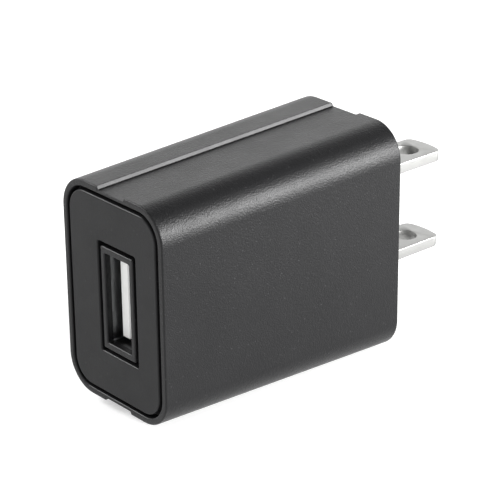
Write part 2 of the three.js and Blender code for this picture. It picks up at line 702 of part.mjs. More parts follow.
/** The bobbin: a square tube on the centre leg, two flanges, and two pin rails on the board. */
function bobbin() {
  const clear = 0.1;
  const wall = 0.6;
  const innerZ = CORE.centreLeg / 2 + clear;
  const innerY = CORE.depth / 2 + clear;
  const low = windowLow + clear;
  const high = windowHigh - clear;
  const flangeZ = windowHalf - clear;
  const tube = box(low, high, -innerY - wall, innerY + wall, -innerZ - wall, innerZ + wall);
  const flanges = [low, high - FLANGE].map((x) => box(x, x + FLANGE, -5.7, 5.7, -flangeZ, flangeZ));
  const rails = [-1, 1].map((side) => {
    const [y0, y1] = side > 0 ? [5.5, 7.0] : [-7.0, -5.5];
    return box(high - FLANGE, -0.35, y0, y1, -6.0, 6.0);
  });
  const bore = box(low - 1, high + 1, -innerY, innerY, -innerZ, innerZ);
  const drills = TRANSFORMER_PINS.map(([y, z]) => rodX(LEAD_RADIUS + 0.05, -2.2, 1, y, z, 8));
  return cut(geometryOf(joined(tube, ...flanges, ...rails)), bore, ...drills);
}

piece(transformer, 'bobbin', bobbin(), MATERIALS.bobbin);

/** A rounded ring about the centre leg between the bobbin's flanges. */
function windingRing(inner, outer, corner, ends) {
  const low = windowLow + 0.1 + FLANGE + ends;
  const high = windowHigh - 0.1 - FLANGE - ends;
  const ring = new THREE.Shape(roundedOutline(2 * outer[0], 2 * outer[1], corner)
    .map(([y, z]) => new THREE.Vector2(y, z)));
  const holeCorner = Math.max(corner - (outer[0] - inner[0]), 0.3);
  const hole = roundedOutline(2 * inner[0], 2 * inner[1], holeCorner)
    .map(([y, z]) => new THREE.Vector2(y, z));
  ring.holes.push(new THREE.Path(hole));
  return new THREE.ExtrudeGeometry(ring, { depth: high - low, bevelEnabled: false })
    .applyMatrix4(new THREE.Matrix4().makeBasis(
      new THREE.Vector3(0, 1, 0), new THREE.Vector3(0, 0, 1), new THREE.Vector3(1, 0, 0)))
    .translate(low, 0, 0);
}

piece(transformer, 'winding', windingRing([3.8, 2.3], [5.1, 3.9], 1.0, 0.05), MATERIALS.copper);
piece(transformer, 'winding_tape', windingRing([5.15, 3.95], [5.35, 4.15], 1.0, 0.08), MATERIALS.tape);

/** The band of tape that holds the two core halves together. */
function coreTape() {
  const grow = (by) => [CORE_TOP - by, CORE_FOOT + by, CORE.width / 2 + by];
  const [x0, x1, z] = grow(0.05);
  const [outer0, outer1, outerZ] = grow(0.2);
  return cut(box(outer0, outer1, -2.4, 2.4, -outerZ, outerZ), box(x0, x1, -3, 3, -z, z));
}

piece(transformer, 'core_tape', coreTape(), MATERIALS.tape);

TRANSFORMER_PINS.forEach(([y, z], i) => {
  const pin = rodX(LEAD_RADIUS, -2.1, LEAD_END - BOARD.inner, y, z, 8);
  piece(transformer, `transformer_pin_${i + 1}`, pin, MATERIALS.solder);
});

// Surface-mount components on the board's outer side, between the board and the right wall.
const surfaceMount = new THREE.Group();
surfaceMount.position.set(BOARD.inner + BOARD.thickness + 0.02, 0, 0);
electronics.add(surfaceMount);

/** A moulded package with feet on two sides: the body is length along Y and width along Z. */
function footedPackage(body, feetPlaces, footWidth, footReach) {
  const { length, width, height } = body;
  const core = box(0.15, height, -length / 2, length / 2, -width / 2, width / 2);
  const feet = feetPlaces.flatMap((y) => [-1, 1].map((side) => {
    const z0 = side > 0 ? width / 2 - 0.3 : -width / 2 - footReach;
    return box(0, 0.35, y - footWidth / 2, y + footWidth / 2, z0, z0 + footReach + 0.3);
  }));
  return geometryOf(joined(core, ...feet));
}

const chipFeet = [-1.9, -0.63, 0.63, 1.9];
const controlChip = footedPackage({ length: 4.9, width: 3.9, height: 1.6 }, chipFeet, 0.42, 1.0);
piece(surfaceMount, 'control_chip', controlChip, MATERIALS.epoxyBlack, [0, ...PLACES.controlChip]);
const bridge = footedPackage({ length: 4.7, width: 3.9, height: 2.5 }, [-1.25, 1.25], 0.6, 1.2);
piece(surfaceMount, 'bridge_rectifier', bridge, MATERIALS.epoxyBlack, [0, ...PLACES.bridge]);
const diode = footedPackage({ length: 3.6, width: 4.5, height: 2.2 }, [0], 2.0, 0.5);
piece(surfaceMount, 'output_diode', diode, MATERIALS.epoxyBlack, [0, ...PLACES.outputDiode]);

/** A chip resistor or capacitor: a block with end caps that stand a little proud of it. */
function chip(height) {
  const caps = [[-1.0, -0.6], [0.6, 1.0]].map((ends) => box(0, height + 0.04, ...ends, -0.65, 0.65));
  return geometryOf(joined(box(0.03, height, -0.9, 0.9, -0.61, 0.61), ...caps));
}

[[-20.4, 1.6], [-25.6, -3.0], [-13.2, 0.6], [-24.6, -7.4]].forEach((place, i) => {
  piece(surfaceMount, `chip_resistor_${i + 1}`, chip(0.5), MATERIALS.epoxyBlack, [0, ...place]);
});
[[-20.4, 4.2], [-28.2, 1.2]].forEach((place, i) => {
  piece(surfaceMount, `chip_capacitor_${i + 1}`, chip(0.9), MATERIALS.ceramic, [0, ...place]);
});

// Lead wires from the blades' tails to the board, and the solder that holds their ends.
const WIRE_RADIUS = 0.6;
const bladeZ = BLADE_SPACING / 2;
const boardFace = BOARD.inner - 0.15;
const [upperHole, lowerHole] = PLACES.wires;
const upperRoute = [
  [-2.3, -6.2, bladeZ], [-4.6, -6.3, bladeZ + 0.5], [-6.2, -6.3, bladeZ + 2.6], [-4.8, -6.2, 11.3],
  [-1.5, -6.1, 11.9], [1.5, -6.1, 11.9], [boardFace, ...upperHole],
];
const lowerRoute = [
  [-2.3, -6.2, -bladeZ], [-4.4, -6.2, -bladeZ + 0.2], [-5.2, -6.1, -bladeZ + 1.6],
  [-3.8, -6.0, -3.5], [-1.0, -5.9, -3.4], [1.4, -5.9, -3.4], [boardFace, ...lowerHole],
];
piece(electronics, 'upper_lead_wire', wire(upperRoute, WIRE_RADIUS, 26), MATERIALS.wireWhite);
piece(electronics, 'lower_lead_wire', wire(lowerRoute, WIRE_RADIUS, 22), MATERIALS.wireBlack);

PLACES.wires.forEach(([y, z], i) => {
  const outer = BOARD.inner + BOARD.thickness + 0.02;
  const profile = [[outer, 0], [outer, 0.9], [outer + 0.4, 0.5], [outer + 0.9, 0.28], [outer + 0.9, 0]];
  const cone = turnedX(profile, y, z, 12);
  piece(electronics, `${['upper', 'lower'][i]}_wire_solder`, cone, MATERIALS.solder);
});

export default charger;
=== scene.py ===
"""The looks of a USB wall charger with two fixed flat blades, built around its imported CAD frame.

Frame: +Y points out of the wall face along the blades, +Z is up, and the USB port is in the front face, at
-Y. Sizes are in millimetres until a mesh is made. Places come from the CAD nodes' boxes.
"""

import json
import logging
import math
from collections.abc import Callable, Iterable, Iterator, Sequence
from contextlib import contextmanager
from dataclasses import dataclass, field
from enum import Enum

import bmesh
import bpy
from mathutils import Matrix, Vector

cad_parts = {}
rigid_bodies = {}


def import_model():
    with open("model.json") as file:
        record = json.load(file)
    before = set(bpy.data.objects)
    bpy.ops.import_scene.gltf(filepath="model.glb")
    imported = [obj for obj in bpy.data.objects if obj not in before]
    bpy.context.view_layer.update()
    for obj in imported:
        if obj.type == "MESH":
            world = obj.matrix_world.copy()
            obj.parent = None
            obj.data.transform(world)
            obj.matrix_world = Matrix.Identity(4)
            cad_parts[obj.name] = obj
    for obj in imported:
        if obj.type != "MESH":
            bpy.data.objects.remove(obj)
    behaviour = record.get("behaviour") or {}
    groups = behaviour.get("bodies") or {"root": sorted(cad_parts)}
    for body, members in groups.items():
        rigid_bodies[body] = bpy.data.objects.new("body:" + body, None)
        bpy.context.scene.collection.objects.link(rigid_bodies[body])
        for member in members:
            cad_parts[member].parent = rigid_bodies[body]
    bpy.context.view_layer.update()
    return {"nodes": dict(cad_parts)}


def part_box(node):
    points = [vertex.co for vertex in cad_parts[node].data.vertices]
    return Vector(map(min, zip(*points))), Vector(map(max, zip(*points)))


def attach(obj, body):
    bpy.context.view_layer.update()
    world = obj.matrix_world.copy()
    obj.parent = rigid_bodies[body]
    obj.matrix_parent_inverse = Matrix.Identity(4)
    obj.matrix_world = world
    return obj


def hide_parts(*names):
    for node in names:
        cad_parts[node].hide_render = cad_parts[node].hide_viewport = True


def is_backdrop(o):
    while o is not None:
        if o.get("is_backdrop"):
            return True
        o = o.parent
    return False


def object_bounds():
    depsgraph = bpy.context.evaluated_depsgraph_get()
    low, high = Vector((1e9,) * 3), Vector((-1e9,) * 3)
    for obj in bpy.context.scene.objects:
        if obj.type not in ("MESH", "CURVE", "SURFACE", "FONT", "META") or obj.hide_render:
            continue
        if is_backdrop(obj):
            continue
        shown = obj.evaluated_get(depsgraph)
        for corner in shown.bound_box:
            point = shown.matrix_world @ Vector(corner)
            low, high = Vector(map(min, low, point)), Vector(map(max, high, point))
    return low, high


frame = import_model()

LOG = logging.getLogger("charger")
MM = 0.001
WELD = 1e-6
WHITE = (1.0, 1.0, 1.0, 1.0)
QUARTERS = ((1, 1), (-1, 1), (-1, -1), (1, -1))

Point = tuple[float, float, float]
Pair = tuple[float, float]
Piece = bpy.types.Object
Tree = bpy.types.NodeTree
Socket = bpy.types.NodeSocket
Colour = Socket | tuple[float, float, float, float]
Number = Socket | float


# ---------------------------------------------------------------- nodes and colours


def linear(hex_colour: str) -> tuple[float, float, float, float]:
    """The linear RGBA of an sRGB hex colour such as "#808080"."""
    channels = [int(hex_colour[i:i + 2], 16) / 255 for i in (1, 3, 5)]
    return (*[c / 12.92 if c <= 0.04045 else ((c + 0.055) / 1.055) ** 2.4 for c in channels], 1.0)


def add_node(tree: Tree, kind: str, settings: dict | None = None,
             inputs: dict | None = None) -> bpy.types.Node:
    """Adds a node with its settings and links.

    Args:
        tree: The node tree.
        kind: The node's type name.
        settings: Attributes of the node, by name.
        inputs: Input sockets, by name or number. A value that is a socket is linked, any other is set.

    Returns:
        The new node.
    """
    node = tree.nodes.new(kind)
    for name, value in (settings or {}).items():
        setattr(node, name, value)
    for name, value in (inputs or {}).items():
        if isinstance(value, Socket):
            tree.links.new(value, node.inputs[name])
        else:
            node.inputs[name].default_value = value
    return node


def noise(tree: Tree, place: Socket, size: float, **more: float) -> Socket:
    """A noise whose features have a real size in millimetres."""
    inputs = {"Vector": place, "Scale": 1 / (size * MM), **more}
    return add_node(tree, "ShaderNodeTexNoise", {}, inputs).outputs["Fac"]


def blend(tree: Tree, factor: Socket, first: Colour, second: Colour) -> Socket:
    """The first colour, turning into the second as the factor rises."""
    inputs = {"Factor": factor, "A": first, "B": second}
    return add_node(tree, "ShaderNodeMix", {"data_type": "RGBA"}, inputs).outputs["Result"]


def remap(tree: Tree, value: Socket, source: Pair, target: Pair,
          **settings: str) -> Socket:
    """A value carried from one range to another."""
    inputs = {"Value": value, "From Min": source[0], "From Max": source[1],
              "To Min": target[0], "To Max": target[1]}
    return add_node(tree, "ShaderNodeMapRange", settings, inputs).outputs["Result"]


def maths(tree: Tree, operation: str, *values: Number, clamp: bool = False) -> Socket:
    """The result of a math node on numbers and sockets."""
    settings = {"operation": operation, "use_clamp": clamp}
    return add_node(tree, "ShaderNodeMath", settings, dict(enumerate(values))).outputs["Value"]


def bump(tree: Tree, height: Socket, depth: float) -> Socket:
    """The normal of a relief whose depth is in millimetres."""
    return add_node(tree, "ShaderNodeBump", {}, {"Height": height, "Distance": depth * MM}).outputs["Normal"]


# ---------------------------------------------------------------- finishes


@dataclass(frozen=True)
class Finish:
    """A finish with two tones that drift into each other, uneven gloss and a fine relief.

    Sizes are real millimetres. The relief's depth is the height of its bumps.
    """

    name: str
    tone: str
    other_tone: str
    drift: float
    gloss: Pair
    gloss_size: float
    grain: float
    depth: float
    stretch: Point = (1.0, 1.0, 1.0)
    metallic: float = 0.0
    ior: float = 1.5
    specular: float = 0.5

    def material(self) -> bpy.types.Material:
        """Makes the material the first time it is asked for, and returns it."""
        found = bpy.data.materials.get(self.name)
        if found:
            return found
        material = bpy.data.materials.new(self.name)
        material.use_nodes = True
        tree = material.node_tree
        tree.nodes.clear()
        shader = add_node(tree, "ShaderNodeBsdfPrincipled", {}, {
            "Metallic": self.metallic, "IOR": self.ior, "Specular IOR Level": self.specular,
        })
        add_node(tree, "ShaderNodeOutputMaterial", {}, {"Surface": shader.outputs["BSDF"]})
        place = add_node(tree, "ShaderNodeTexCoord").outputs["Object"]
        tree.links.new(self.colour(tree, place), shader.inputs["Base Color"])
        tree.links.new(self.roughness(tree, place), shader.inputs["Roughness"])
        tree.links.new(self.relief(tree, place), shader.inputs["Normal"])
        return material

    def colour(self, tree: Tree, place: Socket) -> Socket:
        """The colour: two tones that drift over a real distance."""
        cloud = noise(tree, place, self.drift, Detail=3.0)
        return blend(tree, cloud, linear(self.tone), linear(self.other_tone))

    def roughness(self, tree: Tree, place: Socket) -> Socket:
        """The roughness: a slow change between the two gloss values, as handling leaves."""
        cloud = noise(tree, place, self.gloss_size, Detail=4.0, Roughness=0.6)
        return remap(tree, cloud, (0.3, 0.7), self.gloss)

    def relief(self, tree: Tree, place: Socket) -> Socket:
        """The normal: bumps of the grain's size, stretched along an axis where the surface was drawn."""
        mapping = add_node(tree, "ShaderNodeMapping", {}, {"Vector": place, "Scale": self.stretch})
        return bump(tree, noise(tree, mapping.outputs["Vector"], self.grain, Detail=2.0), self.depth)


@dataclass(frozen=True)
class SparkErodedPlastic(Finish):
    """ABS and polycarbonate moulded against a spark-eroded cavity.

    Fine pits on a shallower unevenness of about twice their size: a matt skin that glitters where a lamp
    grazes it. Real pits are taken to be 0.06 mm wide and are drawn three times as wide, which is as fine as a
    view of the whole object can show. Sparse paler flecks are painted glints: the light that pit bottoms
    catch, put into the colour.
    """

    # Paler flecks in the colour are painted glints, the light caught in pits.
    painted_glint_gap: float = 1.0
    painted_glint_tone: str = "#333334"
    painted_glint_edge: Pair = (0.04, 0.12)
    swell_size: float = 2.2
    swell_share: float = 0.35

    def colour(self, tree: Tree, place: Socket) -> Socket:
        """The colour: the two drifting tones with a scatter of paler flecks, which are painted glints."""
        scale = 1 / (self.painted_glint_gap * MM)
        cells = add_node(tree, "ShaderNodeTexVoronoi", {}, {"Vector": place, "Scale": scale})
        # Painted glints: paler spots in the colour where pits would catch the light.
        painted_glint = remap(tree, cells.outputs["Distance"], self.painted_glint_edge, (1.0, 0.0))
        return blend(tree, painted_glint, super().colour(tree, place), linear(self.painted_glint_tone))

    def relief(self, tree: Tree, place: Socket) -> Socket:
        """The normal: fine pits on a coarser, shallower unevenness."""
        pits = noise(tree, place, self.grain, Detail=2.0, Roughness=0.65)
        swell = noise(tree, place, self.swell_size * self.grain, Detail=1.0)
        return bump(tree, maths(tree, "MULTIPLY_ADD", swell, self.swell_share, pits), self.depth)


# The specular levels of the three black finishes are a fit to the studio's light, well below the 0.5 that is
# physical for ABS. They have to go up again where the lights are weaker.
# Matt black with a faint glitter.
BLACK_ABS = SparkErodedPlastic(
    name="spark_eroded_black_abs", tone="#131314", other_tone="#181819", drift=9.0,
    gloss=(0.32, 0.38), gloss_size=5.0, grain=0.2, depth=0.05, specular=0.2)
# The inlaid plate is finer and a little greyer than the sleeve.
PANEL_ABS = SparkErodedPlastic(
    name="fine_matt_dark_abs", tone="#151516", other_tone="#1A1A1B", drift=7.0,
    gloss=(0.42, 0.5), gloss_size=4.0, grain=0.18, depth=0.02, specular=0.18)
# Where the cavity had a polish, such as the channels' walls and the fine radii of the inlay: a bright line.
# Its smoother relief is the polish, and its tone, paler than the sleeve's, is a painted highlight on that
# line.
POLISHED_ABS_PAINTED_HIGHLIGHT = Finish(
    name="polished_black_abs_edge_painted_highlight", tone="#1C1C1D", other_tone="#222223", drift=3.0,
    gloss=(0.3, 0.36), gloss_size=2.0, grain=0.4, depth=0.004, specular=0.18)
# Satin plating over blanked brass, with drawing lines along the blade. Its tone is below real nickel's, to
# keep the blades' sides from burning out under the edge light.
NICKEL = Finish(
    name="bright_nickel_plated_brass", tone="#9C9C9B", other_tone="#949492", drift=3.0,
    gloss=(0.42, 0.5), gloss_size=1.2, grain=0.15, depth=0.0008, stretch=(1.0, 0.12, 1.0), metallic=1.0)
# Cold-rolled steel with bright tin: grey, with rolling lines along the shell.
TINNED_STEEL = Finish(
    name="bright_tinned_rolled_steel", tone="#7C7D7E", other_tone="#6F7071", drift=2.0,
    gloss=(0.3, 0.4), gloss_size=1.0, grain=0.12, depth=0.001, stretch=(1.0, 0.1, 1.0), metallic=1.0)
# Glass-filled nylon, injection moulded: white with a satin skin.
WHITE_NYLON = Finish(
    name="moulded_white_nylon", tone="#F6F6F5", other_tone="#EEEEEC", drift=2.5,
    gloss=(0.28, 0.38), gloss_size=1.5, grain=0.15, depth=0.002)
# A gold flash over nickel on the sprung contacts.
GOLD_FLASH = Finish(
    name="gold_flashed_phosphor_bronze", tone="#E2BC62", other_tone="#D2A850", drift=0.8,
    gloss=(0.18, 0.3), gloss_size=0.6, grain=0.08, depth=0.002, stretch=(1.0, 0.15, 1.0), metallic=1.0)
# Bright aluminium, deep drawn: the lid of a capacitor can.
ALUMINIUM = Finish(
    name="drawn_aluminium", tone="#D4D5D7", other_tone="#C6C8CA", drift=1.5,
    gloss=(0.3, 0.42), gloss_size=0.8, grain=0.15, depth=0.002, metallic=1.0)
# Freshly wetted lead-free solder: bright, with a slightly grainy skin.
SOLDER = Finish(
    name="lead_free_solder", tone="#C3C5C7", other_tone="#AEB1B4", drift=0.5,
    gloss=(0.22, 0.42), gloss_size=0.4, grain=0.2, depth=0.01, metallic=1.0)
# Polyurethane enamel on copper: warm, clear and glossy.
COPPER = Finish(
    name="enamelled_copper_wire", tone="#B4622C", other_tone="#9C4F20", drift=1.0,
    gloss=(0.2, 0.34), gloss_size=0.5, grain=0.1, depth=0.001, stretch=(1.0, 0.3, 0.3), metallic=0.85)
# Pressed and fired manganese-zinc ferrite: dull charcoal with a sintered grain.
FERRITE = Finish(
    name="sintered_ferrite", tone="#2B2B2D", other_tone="#39393B", drift=0.6,
    gloss=(0.55, 0.75), gloss_size=0.5, grain=0.12, depth=0.012)
# Black phenolic moulding with a faint flow pattern.
PHENOLIC = Finish(
    name="moulded_black_phenolic", tone="#1D1C1C", other_tone="#282523", drift=1.2,
    gloss=(0.38, 0.5), gloss_size=1.5, grain=0.3, depth=0.004)
# Polyester film tape: clear yellow with stretch lines.
POLYESTER_TAPE = Finish(
    name="yellow_polyester_tape", tone="#E6C63C", other_tone="#D9B52E", drift=2.0,
    gloss=(0.2, 0.34), gloss_size=1.0, grain=0.3, depth=0.004, stretch=(1.0, 0.3, 1.0))
# Shrunk PVC film over a can: dark blue with a soft gloss.
SLEEVE = Finish(
    name="shrunk_blue_pvc_film", tone="#1F2C44", other_tone="#26344D", drift=2.0,
    gloss=(0.24, 0.36), gloss_size=1.2, grain=0.4, depth=0.004)
# The printed band on the sleeve: pale, slightly matt ink.
SLEEVE_BAND = Finish(
    name="pale_printed_band", tone="#AEB6C2", other_tone="#A2AAB8", drift=0.7,
    gloss=(0.4, 0.5), gloss_size=0.5, grain=0.15, depth=0.002)
# Filled epoxy, transfer moulded: charcoal with a fine eroded skin.
EPOXY = Finish(
    name="moulded_black_epoxy", tone="#1A1A1B", other_tone="#222224", drift=0.7,
    gloss=(0.45, 0.58), gloss_size=0.6, grain=0.08, depth=0.006)
# Dipped epoxy on a ceramic disc: thick, glossy and slightly uneven.
DIPPED_EPOXY = Finish(
    name="dipped_blue_epoxy", tone="#2C5FA6", other_tone="#244F90", drift=1.5,
    gloss=(0.16, 0.3), gloss_size=0.8, grain=0.7, depth=0.03)
# Flameproof cement coat on a resistor: grey-green and chalky.
RESISTOR_COAT = Finish(
    name="flameproof_cement_coat", tone="#6D8E7B", other_tone="#5F8070", drift=0.8,
    gloss=(0.5, 0.66), gloss_size=0.5, grain=0.1, depth=0.008)
# Shrunk polyolefin tube: black, softly wrinkled along its length.
HEAT_SHRINK = Finish(
    name="shrunk_polyolefin_tube", tone="#161616", other_tone="#202020", drift=1.0,
    gloss=(0.35, 0.48), gloss_size=0.8, grain=0.3, depth=0.012, stretch=(0.3, 1.0, 1.0))
# Fired barium titanate: tan, matt, with fine specks.
TAN_CERAMIC = Finish(
    name="fired_tan_ceramic", tone="#B89B74", other_tone="#A98B64", drift=0.2,
    gloss=(0.45, 0.6), gloss_size=0.3, grain=0.06, depth=0.003)
# Extruded PVC insulation: satin, with faint drawing marks.
WHITE_PVC = Finish(
    name="extruded_white_pvc", tone="#E6E6E1", other_tone="#DAD9D2", drift=2.0,
    gloss=(0.34, 0.46), gloss_size=1.0, grain=0.15, depth=0.004)
BLACK_PVC = Finish(
    name="extruded_black_pvc", tone="#1B1B1D", other_tone="#252528", drift=2.0,
    gloss=(0.34, 0.46), gloss_size=1.0, grain=0.15, depth=0.004)


@dataclass(frozen=True)
class WovenLaminate(Finish):
    """Glass-faced paper laminate: the weave of its outer glass cloth shows through the resin."""

    weave: float = 0.45
    thread_tone: str = "#E4D6A0"

    def colour(self, tree: Tree, place: Socket) -> Socket:
        """The colour: two resin tones crossed by the threads of the glass cloth."""
        threads = [add_node(tree, "ShaderNodeTexWave", {"bands_direction": axis}, {
            "Vector": place, "Scale": 0.314 / (self.weave * MM), "Distortion": 0.6, "Detail": 1.0,
        }).outputs["Fac"] for axis in ("Y", "Z")]
        cloth = maths(tree, "MULTIPLY", maths(tree, "MULTIPLY", *threads), 0.35)
        return blend(tree, cloth, super().colour(tree, place), linear(self.thread_tone))


# Tan laminate with a 0.45 mm weave under a satin resin skin.
LAMINATE = WovenLaminate(
    name="tan_glass_faced_laminate", tone="#B79F62", other_tone="#A98F52", drift=4.0,
    gloss=(0.34, 0.5), gloss_size=1.5, grain=0.3, depth=0.006)
# Waxy amber film with fine bubbles.
ADHESIVE = Finish(
    name="transfer_adhesive_film", tone="#D8D0B4", other_tone="#C9BF9C", drift=1.5,
    gloss=(0.5, 0.7), gloss_size=1.0, grain=0.25, depth=0.01)


# ---------------------------------------------------------------- mesh making


@dataclass(frozen=True)
class NodeBox:
    """The box of a CAD node, in millimetres."""

    low: Vector
    high: Vector

    @classmethod
    def of(cls, node: str) -> "NodeBox":
        """The box of the named node."""
        low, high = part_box(node)
        return cls(low / MM, high / MM)

    @property
    def size(self) -> Vector:
        """The lengths of its sides."""
        return self.high - self.low

    @property
    def centre(self) -> Vector:
        """Its middle."""
        return (self.high + self.low) / 2


def filleted(path: Sequence[Sequence[float]], steps: int = 5) -> list[Pair]:
    """Rounds the corners of an open path.

    Args:
        path: Points (u, v, radius). The first and last only give the direction in and out.
        steps: The number of pieces in each rounded corner.

    Returns:
        The points between the two ends, with an arc at each corner that has a radius.
    """
    result: list[Pair] = []
    for before, here, after in zip(path, path[1:], path[2:]):
        corner = Vector(here[:2])
        inward = (Vector(before[:2]) - corner).normalized()
        outward = (Vector(after[:2]) - corner).normalized()
        angle = inward.angle(outward)
        if here[2] == 0 or math.pi - angle < 1e-3:
            result.append((corner.x, corner.y))
            continue
        radius = here[2]
        centre = corner + (inward + outward).normalized() * radius / math.sin(angle / 2)
        start = corner + inward * radius / math.tan(angle / 2) - centre
        end = corner + outward * radius / math.tan(angle / 2) - centre
        sweep = math.pi - angle
        for step in range(steps + 1):
            turn = sweep * step / steps
            point = centre + (start * math.sin(sweep - turn) + end * math.sin(turn)) / math.sin(sweep)
            result.append((point.x, point.y))
    return result


def circle(radius: float, steps: int, way: int = 1) -> list[Pair]:
    """Points around the origin, anticlockwise or, with a way of -1, clockwise."""
    turns = [way * 2 * math.pi * step / steps for step in range(steps)]
    return [(radius * math.cos(turn), radius * math.sin(turn)) for turn in turns]


def corner_arc(quarter: int, half: Pair, corner: float, steps: int) -> list[Pair]:
    """The points of one corner, numbered anticlockwise, of a rounded rectangle about the origin."""
    side_x, side_z = QUARTERS[quarter]
    angles = [(quarter + step / steps) * math.pi / 2 for step in range(steps + 1)]
    return [(side_x * (half[0] - corner) + corner * math.cos(angle),
             side_z * (half[1] - corner) + corner * math.sin(angle)) for angle in angles]


def rounded_ring(width: float, height: float, corner: float, steps: int = 8) -> list[Pair]:
    """The (x, z) points of a rounded rectangle about the origin, anticlockwise from its right side."""
    half = (width / 2, height / 2)
    return [point for quarter in range(4) for point in corner_arc(quarter, half, corner, steps)]


def loft(rings: Sequence[Sequence[Point]], closed: bool) -> tuple[list[Point], list[tuple[int, ...]]]:
    """Joins rings of equal count with quads.

    Args:
        rings: The rings, each a closed loop of points.
        closed: True joins the last ring to the first. False closes both ends with a face.

    Returns:
        The points and the faces.
    """
    count = len(rings[0])
    points = [point for ring in rings for point in ring]
    faces: list[tuple[int, ...]] = []
    spans = len(rings) if closed else len(rings) - 1
    for ring in range(spans):
        here, there = ring * count, (ring + 1) % len(rings) * count
        faces += [(here + i, here + j, there + j, there + i)
                  for i, j in ((i, (i + 1) % count) for i in range(count))]
    if not closed:
        faces.append(tuple(reversed(range(count))))
        faces.append(tuple(range((len(rings) - 1) * count, len(rings) * count)))
    return points, faces


def add_object(name: str, data: bpy.types.ID) -> Piece:
    """Puts data into the scene as an object."""
    added = bpy.data.objects.new(name, data)
    bpy.context.scene.collection.objects.link(added)
    return added


def shade(mesh: bpy.types.Mesh, angle: float) -> None:
    """Shades a mesh smooth up to an angle in degrees between its faces."""
    mesh.shade_smooth()
    mesh.set_sharp_from_angle(angle=math.radians(angle))


@contextmanager
def editing(mesh: bpy.types.Mesh) -> Iterator[bmesh.types.BMesh]:
    """Opens a mesh for editing and writes it back at the end."""
    work = bmesh.new()
    work.from_mesh(mesh)
    yield work
    work.to_mesh(mesh)
    work.free()


def tidy_mesh(mesh: bpy.types.Mesh, smooth: float = 35.0) -> None:
    """Merges doubles, turns the faces outwards and shades the mesh smooth up to an angle in degrees."""
    with editing(mesh) as work:
        bmesh.ops.remove_doubles(work, verts=work.verts, dist=WELD)
        bmesh.ops.dissolve_degenerate(work, edges=work.edges, dist=WELD)
        bmesh.ops.recalc_face_normals(work, faces=work.faces)
    shade(mesh, smooth)


def new_piece(name: str, points: Iterable[Sequence[float]], faces: Iterable[Sequence[int]],
              smooth: float = 35.0) -> Piece:
    """Makes an object from points in millimetres and faces."""
    mesh = bpy.data.meshes.new(name)
    mesh.from_pydata([Vector(point) * MM for point in points], [], [tuple(face) for face in faces])
    tidy_mesh(mesh, smooth)
    return add_object(name, mesh)


def apply_modifiers(piece: Piece) -> None:
    """Turns the piece with its modifiers into a plain mesh."""
    bpy.context.view_layer.update()
    depsgraph = bpy.context.evaluated_depsgraph_get()
    baked = bpy.data.meshes.new_from_object(piece.evaluated_get(depsgraph))
    rough = piece.data
    piece.modifiers.clear()
    piece.data = baked
    bpy.data.meshes.remove(rough)


def soften(piece: Piece, width: float, segments: int = 2, angle: float = 30.0) -> None:
    """Rounds the piece's sharp edges by a width in millimetres and evens its normals."""
    bevel = piece.modifiers.new("edges", "BEVEL")
    bevel.width = width * MM
    bevel.segments = segments
    bevel.limit_method = "ANGLE"
    bevel.angle_limit = math.radians(angle)
    apply_modifiers(piece)
    shade(piece.data, 50)
    even_normals(piece)


def even_normals(piece: Piece) -> None:
    """Lets the large flat faces keep their own normals next to small fillets."""
    weighted = piece.modifiers.new("normals", "WEIGHTED_NORMAL")
    weighted.keep_sharp = True
    apply_modifiers(piece)


def copy_of_node(node: str, name: str) -> Piece:
    """A copy of a CAD node's solid with its flat faces whole, ready to be finished."""
    mesh = frame["nodes"][node].data.copy()
    with editing(mesh) as work:
        bmesh.ops.remove_doubles(work, verts=work.verts, dist=WELD)
        bmesh.ops.dissolve_limit(work, angle_limit=math.radians(1), verts=work.verts, edges=work.edges)
    return add_object(name, mesh)


class Solid(Enum):
    """What is done with a closed tool."""

    CUT_OUT = "DIFFERENCE"
    JOIN_IN = "UNION"


def combine(piece: Piece, tool: Piece, way: Solid) -> None:
    """Cuts a closed tool out of the piece, or joins it to the piece as one solid, and removes the tool."""
    boolean = piece.modifiers.new("solid", "BOOLEAN")
    boolean.operation = way.value
    boolean.solver = "EXACT"
    boolean.object = tool
    apply_modifiers(piece)
    bpy.data.objects.remove(tool)


def polish_and_paint_highlight_faces(piece: Piece, chosen: Callable[[Vector, Vector], bool]) -> None:
    """Gives the faces that a rule chooses a smoother relief and a paler tone, a painted highlight.

    Args:
        piece: A piece that already has its main finish.
        chosen: Tells from a face's normal and its middle in millimetres whether it gets the painted highlight
            and polish.
    """
    # The chosen faces get a paler tone, a painted highlight, along with a smoother relief.
    piece.data.materials.append(POLISHED_ABS_PAINTED_HIGHLIGHT.material())
    for face in piece.data.polygons:
        face.material_index = int(chosen(face.normal, face.center / MM))


def front_radius_facing_up(normal: Vector, middle: Vector) -> bool:
    """True for the fine radii between a front surface and an edge that faces up."""
    return -0.97 < normal.y < -0.2 and normal.z > 0.25


def hand_over(piece: Piece, finish: Finish | None, slot: str, *nodes: str) -> None:
    """Dresses a finished piece, ties it to the body and reports it.

    Args:
        piece: The piece.
        finish: Its finish, or None where its faces already have theirs.
        slot: The record's material slot; not used.
        nodes: The CAD nodes that it stands for.
    """
    if finish:
        piece.data.materials.clear()
        piece.data.materials.append(finish.material())
    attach(piece, "root")
    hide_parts(*nodes)
    shown = ", ".join(nodes) or "no node"
    LOG.info("%s: %d faces, stands for %s", piece.name, len(piece.data.polygons), shown)


def soften_node(node: str, name: str, finish: Finish, slot: str, width: float, segments: int = 2,
                angle: float = 30.0) -> None:
    """Hands over a copy of a CAD node's solid whose sharp edges are rounded by a width in millimetres."""
    piece = copy_of_node(node, name)
    soften(piece, width, segments, angle)
    hand_over(piece, finish, slot, node)


# ---------------------------------------------------------------- housing


